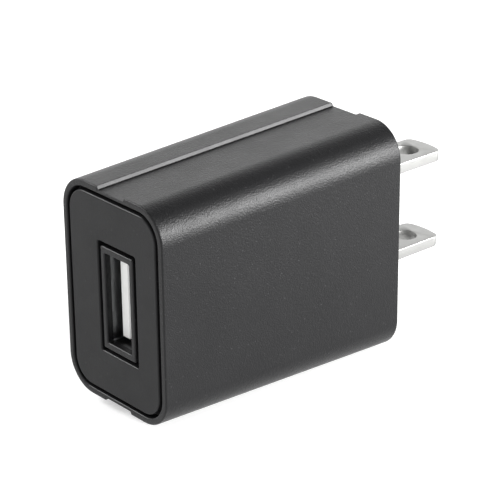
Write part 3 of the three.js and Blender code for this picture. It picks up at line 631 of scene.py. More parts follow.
@dataclass
class Enclosure:
    """The sleeve, the inlaid panel with its adhesive, the port's frame and the rear cover."""

    corner_front: float = 4.5
    corner_back: float = 4.7
    wall: float = 1.5
    rim: float = 0.9
    groove: float = 0.5
    recess: float = 1.5
    front_wall: float = 3.0
    front_edge: float = 0.22
    back_edge: float = 0.24
    channel_half: float = 2.75
    channel_floor_half: float = 2.53
    channel_depth: float = 0.45
    channel_fillet: float = 0.07
    cover_seat: float = 2.1
    corner_steps: int = 20

    body: NodeBox = field(default_factory=lambda: NodeBox.of("housing_shell"))
    panel: NodeBox = field(default_factory=lambda: NodeBox.of("front_panel"))
    collar: NodeBox = field(default_factory=lambda: NodeBox.of("port_collar"))

    def __post_init__(self) -> None:
        """Works out the body's front and back sizes from the nodes' boxes."""
        inset = self.rim + self.groove
        slope = (self.panel.high.y - self.body.low.y) / self.length
        self.back_width, self.back_height = self.body.size.x, self.body.size.z
        grown_width, grown_height = (self.panel.size.x + 2 * inset, self.panel.size.z + 2 * inset)
        self.front_width = (grown_width - slope * self.back_width) / (1 - slope)
        self.front_height = (grown_height - slope * self.back_height) / (1 - slope)

    @property
    def length(self) -> float:
        """The body's length from the front face to the wall."""
        return self.body.size.y

    def channel(self) -> list[Pair]:
        """The grip channel's section from one side to the other, as (across, depth)."""
        half = filleted([
            (self.channel_half + 2, 0, 0), (self.channel_half, 0, self.channel_fillet),
            (self.channel_floor_half, self.channel_depth, self.channel_fillet), (0, self.channel_depth, 0),
        ], steps=4)
        return half + [(-across, depth) for across, depth in reversed(half)]

    def ring(self, behind: float, inset: float) -> list[Point]:
        """The body's outline at a distance behind its front face, moved inwards by an inset.

        The grip channels are in the outer skin only, so an outline well inside it is plain.
        """
        t = behind / self.length
        width = self.front_width + (self.back_width - self.front_width) * t
        height = self.front_height + (self.back_height - self.front_height) * t
        corner = self.corner_front + (self.corner_back - self.corner_front) * t - inset
        outer = inset < (self.rim + self.back_edge) / 2
        y = self.body.low.y + behind
        points: list[Point] = []
        half = (width / 2 - inset, height / 2 - inset)
        for quarter, (side_x, side_z) in enumerate(QUARTERS):
            points += [(x, y, z) for x, z in corner_arc(quarter, half, corner, self.corner_steps)]
            if side_x == side_z:
                for across, depth in self.channel():
                    sunk = max(inset, depth + inset / 4) if outer else inset
                    points.append((side_x * across, y, side_z * (height / 2 - sunk)))
        return points

    def window_ring(self, behind: float, width: float, height: float, corner: float) -> list[Point]:
        """An outline around the port with the same stations as the body's."""
        x = self.collar.centre.x
        y = self.body.low.y + behind
        points: list[Point] = []
        squeeze = (width / 2 - corner) / (self.channel_half + 0.4)
        half = (width / 2, height / 2)
        for quarter, (side_x, side_z) in enumerate(QUARTERS):
            points += [(x + dx, y, z) for dx, z in corner_arc(quarter, half, corner, self.corner_steps)]
            if side_x == side_z:
                points += [(x + side_x * across * squeeze, y, side_z * height / 2)
                           for across, _ in self.channel()]
        return points

    def sleeve(self) -> None:
        """The one-piece sleeve: drafted walls, channels, rim, front wall and the seat of the rear cover."""
        far = 9.0
        skin = filleted([
            (self.front_wall, far, 0), (self.front_wall, self.wall, 0.3),
            (self.length - self.cover_seat, self.wall, 0.05), (self.length - self.cover_seat, self.rim, 0.05),
            (self.length, self.rim, 0.1), (self.length, 0, self.back_edge), (0, 0, self.front_edge),
            (0, self.rim, 0.2), (self.recess, self.rim, 0.12), (self.recess, far, 0),
        ])
        collar = self.collar_size()
        hole = (collar[0] + 0.1, collar[1] + 0.1, collar[2])
        rings = [self.ring(behind, inset) for behind, inset in skin]
        rings += [self.window_ring(behind, *hole) for behind in (self.recess, self.front_wall)]
        piece = new_piece("housing_sleeve", *loft(rings, closed=True))
        self.add_board_ribs(piece)
        shade(piece.data, 35)
        even_normals(piece)
        hand_over(piece, BLACK_ABS, "black_housing", "housing_shell")
        polish_and_paint_highlight_faces(piece, self.polished_and_painted_highlight)

    def polished_and_painted_highlight(self, normal: Vector, middle: Vector) -> bool:
        """True for the walls of the grip channels and for the rim's inner radius that faces up: polish and
        painted highlight.
        """
        wall = self.channel_floor_half - 0.1 < abs(middle.x) < self.channel_half + 0.1
        in_channel = wall and abs(normal.x) > 0.5 and abs(middle.z) > self.front_height / 2 - 1
        inside = abs(middle.z) < self.front_height / 2 - 0.6
        return in_channel or inside and front_radius_facing_up(normal, middle)

    def add_board_ribs(self, piece: Piece) -> None:
        """Joins the four ribs that hold the board's edges to the sleeve's inside."""
        board = NodeBox.of("circuit_board")
        gap, rib, tooth = 0.15, 1.0, 0.35
        start, end = self.body.low.y + self.front_wall - 0.2, -9.0
        for x in (board.low.x - gap - rib, board.high.x + gap):
            for side in (1, -1):
                inner = board.high.z - tooth
                taper = 0.12
                section = [(x, inner), (x + rib, inner), (x + rib + taper, inner + 3), (x - taper, inner + 3)]
                reach = [self.wall_height(y - self.body.low.y) - 0.4 for y in (start, end)]
                rings = [[(px, y, side * min(pz, top)) for px, pz in section]
                         for y, top in zip((start, end), reach)]
                combine(piece, new_piece("rib", *loft(rings, closed=False)), Solid.JOIN_IN)

    def wall_height(self, behind: float) -> float:
        """Half the body's height at a distance behind its front face."""
        return (self.front_height + (self.back_height - self.front_height) * behind / self.length) / 2

    def collar_size(self) -> Point:
        """The port frame's outline where it passes the front wall: width, height and corner."""
        flange = 2.0
        return self.collar.size.x - flange, self.collar.size.z - flange, 0.25

    def front_plate(self) -> None:
        """The inlaid plate with its window, a fine radius on every edge."""
        inset = self.rim + self.groove
        thickness = self.panel.size.y
        collar = self.collar_size()
        groove = 1.1
        window = (collar[0] + groove, collar[1] + groove, 0.3)
        outline = filleted([(0, 9, 0), (0, inset, 0.18), (thickness, inset, 0.05), (thickness, 9, 0)])
        edge = filleted([(thickness, 9, 0), (thickness, 0, 0.05), (0, 0, 0.2), (0, 9, 0)])
        rings = [self.ring(behind, at) for behind, at in outline]
        rings += [self.window_ring(behind, window[0] + 2 * grown, window[1] + 2 * grown, window[2] + grown)
                  for behind, grown in edge]
        piece = new_piece("face_panel", *loft(rings, closed=True))
        even_normals(piece)
        hand_over(piece, PANEL_ABS, "dark_panel", "front_panel")
        polish_and_paint_highlight_faces(piece, front_radius_facing_up)

    def adhesive(self) -> None:
        """The film behind the plate, cut a little smaller than it."""
        film = NodeBox.of("panel_adhesive")
        inset = self.rim + self.groove + 0.6
        collar = self.collar_size()
        hole = (collar[0] + 2.3, collar[1] + 2.3, 1.0)
        levels = [film.low.y - self.body.low.y, film.high.y - self.body.low.y]
        rings = [self.ring(level, inset) for level in levels]
        rings += [self.window_ring(level, *hole) for level in reversed(levels)]
        piece = new_piece("adhesive_film", *loft(rings, closed=True))
        hand_over(piece, ADHESIVE, "adhesive_film", "panel_adhesive")

    def port_frame(self) -> None:
        """The frame around the port: stepped inside for the metal shell, with an inner flange."""
        width, height, corner = self.collar_size()
        lip, length, flange_at = 0.95, self.collar.size.y, self.front_wall + 0.05
        opening = (4.85, 12.25, 0.2)
        seat = 0.48
        outside = filleted([
            (0, -3, 0), (0, 0, 0.2), (flange_at, 0, 0.05), (flange_at, 1.0, 0.1), (length, 1.0, 0.1),
            (length, -3, 0),
        ])
        inside = filleted([
            (length, 3, 0), (length, seat, 0.08), (lip, seat, 0.04), (lip, 0, 0.05), (0, 0, 0.2), (0, 3, 0),
        ])
        rings = []
        for (wide, high, base_corner), chain in (((width, height, corner), outside), (opening, inside)):
            for behind, grown in chain:
                radius = min(max(base_corner + grown, 0.15), 1.3)
                rings.append(self.window_ring(behind, wide + 2 * grown, high + 2 * grown, radius))
        piece = new_piece("port_frame", *loft(rings, closed=True))
        even_normals(piece)
        hand_over(piece, BLACK_ABS, "black_housing", "port_collar")
        polish_and_paint_highlight_faces(piece, front_radius_facing_up)

    def wall_cover(self) -> None:
        """The rear cover: plate, locating skirt, blade bosses and the slots that the blades pass."""
        cover = NodeBox.of("rear_cover")
        inset, plate, skirt_wall = 1.05, 2.0, 1.0
        skirt_inset = self.wall + 0.15
        front_of_plate = self.length - plate
        skirt_end = cover.low.y - self.body.low.y
        chain = filleted([
            (front_of_plate, 9, 0), (front_of_plate, skirt_inset + skirt_wall, 0.2),
            (skirt_end, skirt_inset + skirt_wall, 0.2), (skirt_end, skirt_inset, 0.2),
            (front_of_plate, skirt_inset, 0.05), (front_of_plate, inset, 0.05), (self.length, inset, 0.22),
            (self.length, 9, 0),
        ], steps=4)
        rings = [self.ring(behind, at) for behind, at in chain]
        piece = new_piece("wall_cover", *loft(rings, closed=False))
        for node in ("upper_blade", "lower_blade"):
            self.add_blade_seat(piece, NodeBox.of(node))
        shade(piece.data, 35)
        even_normals(piece)
        hand_over(piece, BLACK_ABS, "black_housing", "rear_cover")

    def add_blade_seat(self, piece: Piece, blade: NodeBox) -> None:
        """Adds a blade's boss inside the cover and its slot with a chamfered mouth."""
        z = blade.centre.z
        boss = new_piece("boss", *loft([
            [(x, y, z + dz) for x, dz in rounded_ring(9.2 - draft, 4.4 - draft, 0.6, 4)]
            for y, draft in ((-1.5, 0.0), (-4.8, 0.15), (-5.0, 0.5))
        ], closed=False))
        combine(piece, boss, Solid.JOIN_IN)
        clear, mouth = 0.05, 0.16
        width, height = blade.size.x + 2 * clear, blade.size.z + 2 * clear
        slot = new_piece("slot", *loft([
            [(x, y, z + dz) for x, dz in rounded_ring(width + 2 * more, height + 2 * more, 0.2 + more, 4)]
            for y, more in ((-6.0, 0.0), (-mouth, 0.0), (0.2, mouth + 0.2))
        ], closed=False))
        combine(piece, slot, Solid.CUT_OUT)

    def build(self) -> None:
        """Builds every piece of the housing."""
        self.sleeve()
        self.front_plate()
        self.adhesive()
        self.port_frame()
        self.wall_cover()


# ---------------------------------------------------------------- blades


@dataclass
class Blades:
    """The two flat mains blades: blanked, bevelled, drilled and plated."""

    bevel: float = 0.16
    hole_radius: float = 1.6
    hole_from_wall: float = 11.5
    tip_round: float = 1.2
    crown: float = 0.3
    tail_half: float = 1.8
    tail_root: float = -4.6
    full_width_from: float = -4.0
    solder_hole: float = 0.6

    def outline(self, box: NodeBox) -> list[Pair]:
        """The blade's outline from its solder tail around the tip and back."""
        half, tail_end = box.size.x / 2, box.low.y
        length = box.high.y + 0.05
        shoulder = length - self.crown
        points = [(-self.tail_half, tail_end), (self.tail_half, tail_end), (self.tail_half, self.tail_root),
                  (half, self.full_width_from)]
        corner = [(half, shoulder - self.tip_round), (half, shoulder - 0.1),
                  (half - self.tip_round, shoulder + 0.08)]
        crown = [corner[2], (0.0, length + self.crown / 2), (-corner[2][0], corner[2][1])]
        mirrored = [(-x, y) for x, y in reversed(corner)]
        for bend, steps in ((corner, 8), (crown, 6), (mirrored, 8)):
            start, control, end = (Vector(point) for point in bend)
            for step in range(steps + 1):
                t = step / steps
                point = start * (1 - t) ** 2 + control * (2 * t * (1 - t)) + end * t ** 2
                if not points or (Vector(points[-1]) - point).length > 0.01:
                    points.append((point.x, point.y))
        return points + [(-half, self.full_width_from), (-self.tail_half, self.tail_root)]

    def build_one(self, name: str, node: str) -> None:
        """Builds one blade as a bevelled extrusion of its outline."""
        box = NodeBox.of(node)
        curve = bpy.data.curves.new(name, "CURVE")
        curve.dimensions = "2D"
        curve.fill_mode = "BOTH"
        curve.extrude = (box.size.z / 2 - self.bevel) * MM
        curve.bevel_depth = self.bevel * MM
        curve.bevel_resolution = 1
        curve.offset = -self.bevel * MM
        loops = [self.outline(box)]
        for y, radius in ((self.hole_from_wall, self.hole_radius), (box.low.y + 1.4, self.solder_hole)):
            loops.append([(x, y + dy) for x, dy in circle(radius, 40, way=-1)])
        for loop in loops:
            spline = curve.splines.new("POLY")
            spline.points.add(len(loop) - 1)
            for place, (x, y) in zip(spline.points, loop):
                place.co = (x * MM, y * MM, 0.0, 1.0)
            spline.use_cyclic_u = True
        piece = mesh_of_curve(name, curve)
        piece.data.transform(Matrix.Translation((0, 0, box.centre.z * MM)))
        shade(piece.data, 30)
        even_normals(piece)
        hand_over(piece, NICKEL, "nickel_blade", node)

    def build(self) -> None:
        """Builds both blades."""
        self.build_one("blade_upper", "upper_blade")
        self.build_one("blade_lower", "lower_blade")


# ---------------------------------------------------------------- USB receptacle


@dataclass
class Receptacle:
    """The USB receptacle: folded steel shell, moulded insulator and four contact springs."""

    inner_width: float = 5.12
    sheet: float = 0.3
    corner: float = 0.6
    leaf_centre: float = 3.2
    leaf_half: float = 1.0
    slit: float = 0.3
    leaf_front: float = 3.2
    leaf_root: float = 7.8
    bulge: float = 0.14
    crest: float = 0.75
    leg_front: float = 8.0
    leg_back: float = 10.0

    def shell(self) -> None:
        """The steel shell as one sheet: slit around four retention leaves, which bow into the port."""
        box = NodeBox.of("usb_shell")
        half_height = box.size.z / 2
        half_width = self.inner_width / 2 + self.sheet
        middle = box.low.x + half_width
        front, length = box.low.y, box.size.y
        leaf_low, leaf_high = self.leaf_centre - self.leaf_half, self.leaf_centre + self.leaf_half
        across_leaf = [leaf_low + (leaf_high - leaf_low) * i / 4 for i in range(5)]
        cuts = [leaf_low - self.slit, *across_leaf, leaf_high + self.slit]
        heights = sorted({round(side * z, 4) for z in cuts for side in (1, -1)} | {0.0})
        flat_half = half_height - self.corner
        side = [-flat_half, *heights, flat_half]
        perimeter: list[tuple[float, float, int]] = []
        walls = {0: [(half_width, z, 1) for z in side[:-1]],
                 2: [(-half_width, z, -1) for z in reversed(side[1:])]}
        for quarter in range(4):
            perimeter += walls.get(quarter, [])
            arc = corner_arc(quarter, (half_width, half_height), self.corner, 6)
            perimeter += [(x, z, 0) for x, z in arc]
        perimeter = perimeter[:-1]
        depths = [0.0, 1.0, self.leaf_front - self.slit]
        depths += [self.leaf_front + (self.leaf_root - self.leaf_front) * i / 10 for i in range(11)]
        depths += [9.0, length]
        points: list[Point] = []
        for depth in depths:
            for x, z, wall in perimeter:
                inward = 0.0
                on_leaf = wall != 0 and leaf_low - 1e-4 <= abs(z) <= leaf_high + 1e-4
                if on_leaf and self.leaf_front - 1e-4 <= depth < self.leaf_root:
                    along = (self.leaf_root - depth) / (self.leaf_root - self.leaf_front)
                    rise = math.sin(math.pi * min(along / self.crest, 1.0) / 2)
                    inward = self.bulge * rise - 0.2 * max(along - self.crest, 0)
                points.append((middle + x - wall * inward, front + depth, z))
        count = len(perimeter)
        faces = []
        for row in range(len(depths) - 1):
            mid_depth = (depths[row] + depths[row + 1]) / 2
            for i in range(count):
                j = (i + 1) % count
                mid_height = abs(perimeter[i][1] + perimeter[j][1]) / 2
                on_wall = all(abs(abs(perimeter[k][0]) - half_width) < 1e-6 for k in (i, j))
                beside = on_wall and (leaf_low - self.slit < mid_height < leaf_low or
                                      leaf_high < mid_height < leaf_high + self.slit)
                across = on_wall and leaf_low - self.slit < mid_height < leaf_high + self.slit
                slit_ends = self.leaf_front - self.slit < mid_depth < self.leaf_root
                before_leaf = self.leaf_front - self.slit < mid_depth < self.leaf_front
                if beside and slit_ends or across and before_leaf:
                    continue
                faces.append((row * count + i, row * count + j, (row + 1) * count + j, (row + 1) * count + i))
        piece = new_piece("port_shell", points, faces, 60)
        self.face_outwards(piece, Vector((middle, front + length / 2, 0)) * MM)
        wall = piece.modifiers.new("sheet", "SOLIDIFY")
        wall.thickness = self.sheet * MM
        wall.offset = -1
        wall.use_even_offset = True
        apply_modifiers(piece)
        soften(piece, 0.05, 2, 50)
        for side_z in (1, -1):
            self.add_leg(piece, box, middle + half_width, front, side_z * (half_height - self.sheet / 2))
        hand_over(piece, TINNED_STEEL, "tinned_steel", "usb_shell")

    def face_outwards(self, piece: Piece, centre: Vector) -> None:
        """Turns an open sheet's faces away from its axis, which runs along Y."""
        with editing(piece.data) as work:
            work.normal_update()
            total = sum((face.calc_center_median() - centre).xz.dot(face.normal.xz) * face.calc_area()
                        for face in work.faces)
            if total < 0:
                bmesh.ops.reverse_faces(work, faces=work.faces)

    def add_leg(self, piece: Piece, box: NodeBox, wall_x: float, front: float, z: float) -> None:
        """Joins one locating leg, which goes through the board, to the shell."""
        tip, half = 0.4, self.sheet / 2 - 0.01
        y0, y1 = front + self.leg_front, front + self.leg_back
        outline = [(wall_x - 0.8, y0), (box.high.x - tip, y0), (box.high.x, y0 + tip), (box.high.x, y1 - tip),
                   (box.high.x - tip, y1), (wall_x - 0.8, y1)]
        rings = [[(x, y, z + dz) for x, y in outline] for dz in (-half, half)]
        leg = new_piece("leg", *loft(rings, closed=False))
        combine(piece, leg, Solid.JOIN_IN)

    def insulator(self) -> None:
        """The white tongue and base with a moulded radius on its edges."""
        soften_node("usb_tongue_body", "port_tongue", WHITE_NYLON, "white_nylon", 0.09, 3)

    def contacts(self) -> None:
        """The four contact springs."""
        for use in ("supply", "data_minus", "data_plus", "ground"):
            soften_node(f"usb_contact_{use}", f"contact_spring_{use}", GOLD_FLASH, "gold_contact", 0.04)

    def build(self) -> None:
        """Builds the receptacle."""
        self.shell()
        self.insulator()
        self.contacts()


# ---------------------------------------------------------------- turned parts, tubes and repeats


def on_axis(path: Sequence[Pair]) -> list[Pair]:
    """A profile with both of its ends brought straight to the axis."""
    return [(path[0][0], 0.0), *path, (path[-1][0], 0.0)]


def turned(name: str, profile: Sequence[Pair], y: float, z: float, steps: int = 40,
           smooth: float = 35.0) -> Piece:
    """A form turned about a line along X.

    Args:
        name: The object's name.
        profile: (x, radius) pairs. Where it ends on the axis it is closed there, else it closes on itself.
        y: The line's place.
        z: The line's place.
        steps: The number of faces around.
        smooth: The angle in degrees up to which edges are smooth.

    Returns:
        The object.
    """
    rim = [pair for pair in profile if pair[1] > 0]
    rings = [[(x, y + dy, z + dz) for dy, dz in circle(radius, steps)] for x, radius in rim]
    return new_piece(name, *loft(rings, closed=len(rim) == len(profile)), smooth)


def turned_solid(name: str, path: Sequence[Sequence[float]], y: float, z: float, steps: int,
                 bends: int = 4) -> Piece:
    """A solid turned about a line along X from corners (x, radius, fillet), closed flat at both ends."""
    ends = [(x, -1, 0) for x in (path[0][0], path[-1][0])]
    return turned(name, on_axis(filleted([ends[0], *path, ends[1]], bends)), y, z, steps)


def tube(name: str, route: Sequence[Sequence[float]], radius: float, smooth_route: bool = True,
         around: int = 4) -> Piece:
    """A round wire that follows a route of points, closed at both ends."""
    curve = bpy.data.curves.new(name, "CURVE")
    curve.dimensions = "3D"
    curve.bevel_depth = radius * MM
    curve.bevel_resolution = around
    curve.use_fill_caps = True
    curve.resolution_u = 6
    spline = curve.splines.new("BEZIER" if smooth_route else "POLY")
    places = spline.bezier_points if smooth_route else spline.points
    places.add(len(route) - 1)
    for place, point in zip(places, route):
        place.co = Vector(point) * MM if smooth_route else (*(Vector(point) * MM), 1.0)
        if smooth_route:
            place.handle_left_type = place.handle_right_type = "AUTO"
    return mesh_of_curve(name, curve)


def mesh_of_curve(name: str, curve: bpy.types.Curve) -> Piece:
    """Turns a curve into a mesh object and removes the curve."""
    line = add_object(name + "_line", curve)
    bpy.context.view_layer.update()
    depsgraph = bpy.context.evaluated_depsgraph_get()
    mesh = bpy.data.meshes.new_from_object(line.evaluated_get(depsgraph))
    bpy.data.objects.remove(line)
    bpy.data.curves.remove(curve)
    tidy_mesh(mesh, 40)
    return add_object(name, mesh)


def rounded_block(name: str, low: Point, high: Point, radius: float, segments: int = 2) -> Piece:
    """A block between two corners with every edge rounded."""
    (x0, y0, z0), (x1, y1, z1) = low, high
    rings = [[(x0, y, z0), (x1, y, z0), (x1, y, z1), (x0, y, z1)] for y in (y0, y1)]
    piece = new_piece(name, *loft(rings, closed=False))
    soften(piece, radius, segments)
    return piece


def joined_piece(name: str, parts: Sequence[tuple[Piece, Finish]]) -> Piece:
    """Joins meshes into one object in which each keeps its own finish."""
    work = bmesh.new()
    finishes: list[Finish] = []
    for part, finish in parts:
        if finish not in finishes:
            finishes.append(finish)
        number = finishes.index(finish)
        part.data.polygons.foreach_set("material_index", [number] * len(part.data.polygons))
        work.from_mesh(part.data)
        bpy.data.objects.remove(part)
    mesh = bpy.data.meshes.new(name)
    work.to_mesh(mesh)
    work.free()
    for finish in finishes:
        mesh.materials.append(finish.material())
    return add_object(name, mesh)


@dataclass
class Repeat:
    """A Geometry Nodes tree with named inputs, run once on a carrier mesh of points."""

    name: str
    finish: Finish
    inputs: dict[str, float]
    seed: int = 3

    def __post_init__(self) -> None:
        """Makes the tree with a geometry socket at each end and one input for each size."""
        self.tree = bpy.data.node_groups.new(self.name, "GeometryNodeTree")
        face = self.tree.interface
        face.new_socket(name="Points", in_out="INPUT", socket_type="NodeSocketGeometry")
        face.new_socket(name="Result", in_out="OUTPUT", socket_type="NodeSocketGeometry")
        self.ids = {
            label: face.new_socket(name=label, in_out="INPUT", socket_type="NodeSocketFloat").identifier
            for label in self.inputs}
        self.start = add_node(self.tree, "NodeGroupInput")

    def finish_tree(self, instances: Socket) -> None:
        """Ends the tree: the instances become one mesh with the finish on it."""
        real = add_node(self.tree, "GeometryNodeRealizeInstances", {}, {"Geometry": instances})
        dressed = add_node(self.tree, "GeometryNodeSetMaterial", {}, {
            "Geometry": real.outputs["Geometry"], "Material": self.finish.material(),
        })
        add_node(self.tree, "NodeGroupOutput", {}, {"Result": dressed.outputs["Geometry"]})

    def run(self, places: Sequence[Sequence[float]]) -> Piece:
        """Runs the tree on points in millimetres and returns a plain mesh object."""
        mesh = bpy.data.meshes.new(self.name)
        mesh.from_pydata([Vector(place) * MM for place in places], [], [])
        piece = add_object(self.name, mesh)
        maker = piece.modifiers.new("maker", "NODES")
        maker.node_group = self.tree
        for label, value in self.inputs.items():
            maker[self.ids[label]] = value * MM
        apply_modifiers(piece)
        tidy_mesh(piece.data, 50)
        return piece


def wire_turns(name: str, finish: Finish, wire: float, size: Pair, corner: float) -> Repeat:
    """The turns of a winding: one rounded loop of wire about X at each point.

    Args:
        name: The tree's name.
        finish: The wire's finish.
        wire: The wire's diameter in millimetres.
        size: The loop's outer size along Y and Z.
        corner: The loop's corner radius.

    Returns:
        The tree, ready to run on the turns' centres.
    """
    repeat = Repeat(name, finish, {"Wire": wire, "Width": size[0] - wire, "Height": size[1] - wire,
                                   "Corner": corner - wire / 2})
    tree, start = repeat.tree, repeat.start
    loop = add_node(tree, "GeometryNodeCurvePrimitiveQuadrilateral", {}, {
        "Width": start.outputs["Width"], "Height": start.outputs["Height"],
    })
    rounded = add_node(tree, "GeometryNodeFilletCurve", {"mode": "POLY"}, {
        "Curve": loop.outputs["Curve"], "Radius": start.outputs["Corner"], "Count": 5,
    })
    section = add_node(tree, "GeometryNodeCurvePrimitiveCircle", {}, {
        "Resolution": 8, "Radius": maths(tree, "MULTIPLY", start.outputs["Wire"], 0.5),
    })
    turn = add_node(tree, "GeometryNodeCurveToMesh", {}, {
        "Curve": rounded.outputs["Curve"], "Profile Curve": section.outputs["Curve"],
    })
    upright = add_node(tree, "GeometryNodeTransform", {}, {
        "Geometry": turn.outputs["Mesh"], "Rotation": (math.pi / 2, 0.0, math.pi / 2),
    })
    tilt = add_node(tree, "FunctionNodeRandomValue", {"data_type": "FLOAT_VECTOR"}, {
        "Min": (-0.004, -0.004, -0.004), "Max": (0.004, 0.004, 0.004), "Seed": repeat.seed,
    })
    placed = add_node(tree, "GeometryNodeInstanceOnPoints", {}, {
        "Points": start.outputs["Points"], "Instance": upright.outputs["Geometry"],
        "Rotation": tilt.outputs["Value"],
    })
    repeat.finish_tree(placed.outputs["Instances"])
    return repeat


def solder_fillets(name: str, finish: Finish, foot: float, height: float) -> Repeat:
    """Solder joints: a concave cone that climbs a lead, one at each point, along +X.

    Args:
        name: The tree's name.
        finish: The solder's finish.
        foot: The radius on the pad.
        height: How far it climbs.

    Returns:
        The tree, ready to run on the leads' places on the board's face.
    """
    repeat = Repeat(name, finish, {"Foot": foot, "Height": height}, seed=11)
    tree, start = repeat.tree, repeat.start
    blank = add_node(tree, "GeometryNodeMeshCylinder", {}, {
        "Vertices": 16, "Side Segments": 6, "Radius": start.outputs["Foot"], "Depth": start.outputs["Height"],
    })
    place = add_node(tree, "GeometryNodeInputPosition")
    axes = add_node(tree, "ShaderNodeSeparateXYZ", {}, {"Vector": place.outputs["Position"]})
    share = maths(tree, "DIVIDE", axes.outputs["Z"], start.outputs["Height"])
    left = maths(tree, "SUBTRACT", 1.0, maths(tree, "ADD", share, 0.5, clamp=True))
    waist = maths(tree, "MULTIPLY_ADD", maths(tree, "POWER", left, 2.2), 0.62, 0.38)
    narrow = add_node(tree, "ShaderNodeCombineXYZ", {}, {"X": waist, "Y": waist, "Z": 1.0})
    shaped = add_node(tree, "ShaderNodeVectorMath", {"operation": "MULTIPLY"}, {
        0: place.outputs["Position"], 1: narrow.outputs["Vector"],
    })
    cone = add_node(tree, "GeometryNodeSetPosition", {}, {
        "Geometry": blank.outputs["Mesh"], "Position": shaped.outputs["Vector"],
    })
    lying = add_node(tree, "GeometryNodeTransform", {}, {
        "Geometry": cone.outputs["Geometry"], "Rotation": (0.0, math.pi / 2, 0.0),
    })
    spread = add_node(tree, "FunctionNodeRandomValue", {"data_type": "FLOAT"}, {
        "Min": 0.9, "Max": 1.08, "Seed": repeat.seed,
    })
    placed = add_node(tree, "GeometryNodeInstanceOnPoints", {}, {
        "Points": start.outputs["Points"], "Instance": lying.outputs["Geometry"],
        "Scale": next(socket for socket in spread.outputs if socket.enabled),
    })
    repeat.finish_tree(placed.outputs["Instances"])
    return repeat


# ---------------------------------------------------------------- components


class Side(Enum):
    """The two faces of the board."""

    COMPONENT = -1
    SOLDER = 1


@dataclass
class Board:
    """The circuit board with its pads and the solder on every lead."""

    lead: float = 0.3
    stub: float = 0.9
    box: NodeBox = field(default_factory=lambda: NodeBox.of("circuit_board"))
    leads: list[Pair] = field(default_factory=list)

    def face(self, side: Side) -> float:
        """The X of one of its faces."""
        return self.box.high.x if side is Side.SOLDER else self.box.low.x

    def straight_lead(self, y: float, z: float, start: float) -> Piece:
        """A lead from a component's foot through the board, noted for its solder joint."""
        self.leads.append((y, z))
        end = self.face(Side.SOLDER) + self.stub
        profile = [(start, self.lead), (end - 0.12, self.lead), (end, self.lead * 0.6)]
        return turned("lead", on_axis(profile), y, z, 12)

    def laminate(self) -> None:
        """The drilled laminate with routed edges."""
        soften_node("circuit_board", "board_laminate", LAMINATE, "board_laminate", 0.05, 1, 60)

    def solder(self) -> None:
        """Pads and solder joints on every lead that the components have put through the board."""
        face = self.face(Side.SOLDER)
        joints = solder_fillets("solder_joints", SOLDER, 0.85, self.stub - 0.2)
        piece = joints.run([(face + (self.stub - 0.2) / 2 + 0.06, y, z) for y, z in self.leads])
        under, over, bore, reach = face + 0.012, face + 0.05, 0.4, 1.1
        section = filleted([(under, 0, 0), (under, reach, 0), (over, reach, 0.02), (over, 0, 0)], 2)
        section += [(over, bore), (under, bore)]
        pads = [(turned("pad", section, y, z, 24), SOLDER) for y, z in self.leads]
        whole = joined_piece("board_solder", [(piece, SOLDER), *pads])
        hand_over(whole, None, "solder")


@dataclass
class CanCapacitor:
    """An electrolytic capacitor: aluminium can in a shrunk sleeve, scored vent and two leads."""

    name: str
    node: str
    pitch: float
    board: Board
    band_half_angle: float = 26.0

    def build(self) -> None:
        """Builds the capacitor as one piece."""
        box = NodeBox.of(self.node)
        y, z, radius = box.centre.y, box.centre.z, box.size.y / 2
        foot, top = self.board.face(Side.COMPONENT) - 0.3, box.low.x
        lip = 0.16 * radius
        inner = radius - lip
        sleeve = turned_solid("sleeve", [
            (top + 0.18, inner - 0.3, 0), (top, inner, 0.12), (top, radius, 0.45),
            (foot - 2.5, radius, 0.3), (foot - 2.1, radius - 0.33, 0.25), (foot - 1.7, radius, 0.3),
            (foot, radius, 0.35), (foot, inner, 0.1), (foot - 0.3, inner - 0.1, 0),
        ], y, z, 48)
        edge = inner - 0.32
        lid = turned_solid("lid", [(top + 0.3, edge, 0), (top + 0.08, edge, 0.08)], y, z, 40, 3)
        arm = 0.62 * radius
        for across, along in ((0.09, arm), (arm, 0.09)):
            low, high = (top, y - across, z - along), (top + 0.14, y + across, z + along)
            combine(lid, rounded_block("score", low, high, 0.01), Solid.CUT_OUT)
        shade(lid.data, 30)
        parts = [(sleeve, SLEEVE), (lid, ALUMINIUM)]
        parts += [(self.band(y, z, radius, top, foot), SLEEVE_BAND)]
        parts += [(self.board.straight_lead(y + side * self.pitch / 2, z, foot - 0.4), TINNED_STEEL)
                  for side in (1, -1)]
        hand_over(joined_piece(self.name, parts), None, "capacitor_sleeve", self.node)

    def band(self, y: float, z: float, radius: float, top: float, foot: float) -> Piece:
        """The printed polarity band: a thin curved strip on the sleeve on the side of the second lead."""
        steps = 10
        arc = [math.radians(180 + self.band_half_angle * (2 * step / steps - 1)) for step in range(steps + 1)]
        rings = []
        for x in (top + 0.9, foot - 2.9):
            rings.append([(x, y + reach * math.cos(turn), z + reach * math.sin(turn))
                          for reach, turns in ((radius + 0.015, arc), (radius - 0.02, arc[::-1]))
                          for turn in turns])
        return new_piece("band", *loft(rings, closed=False))


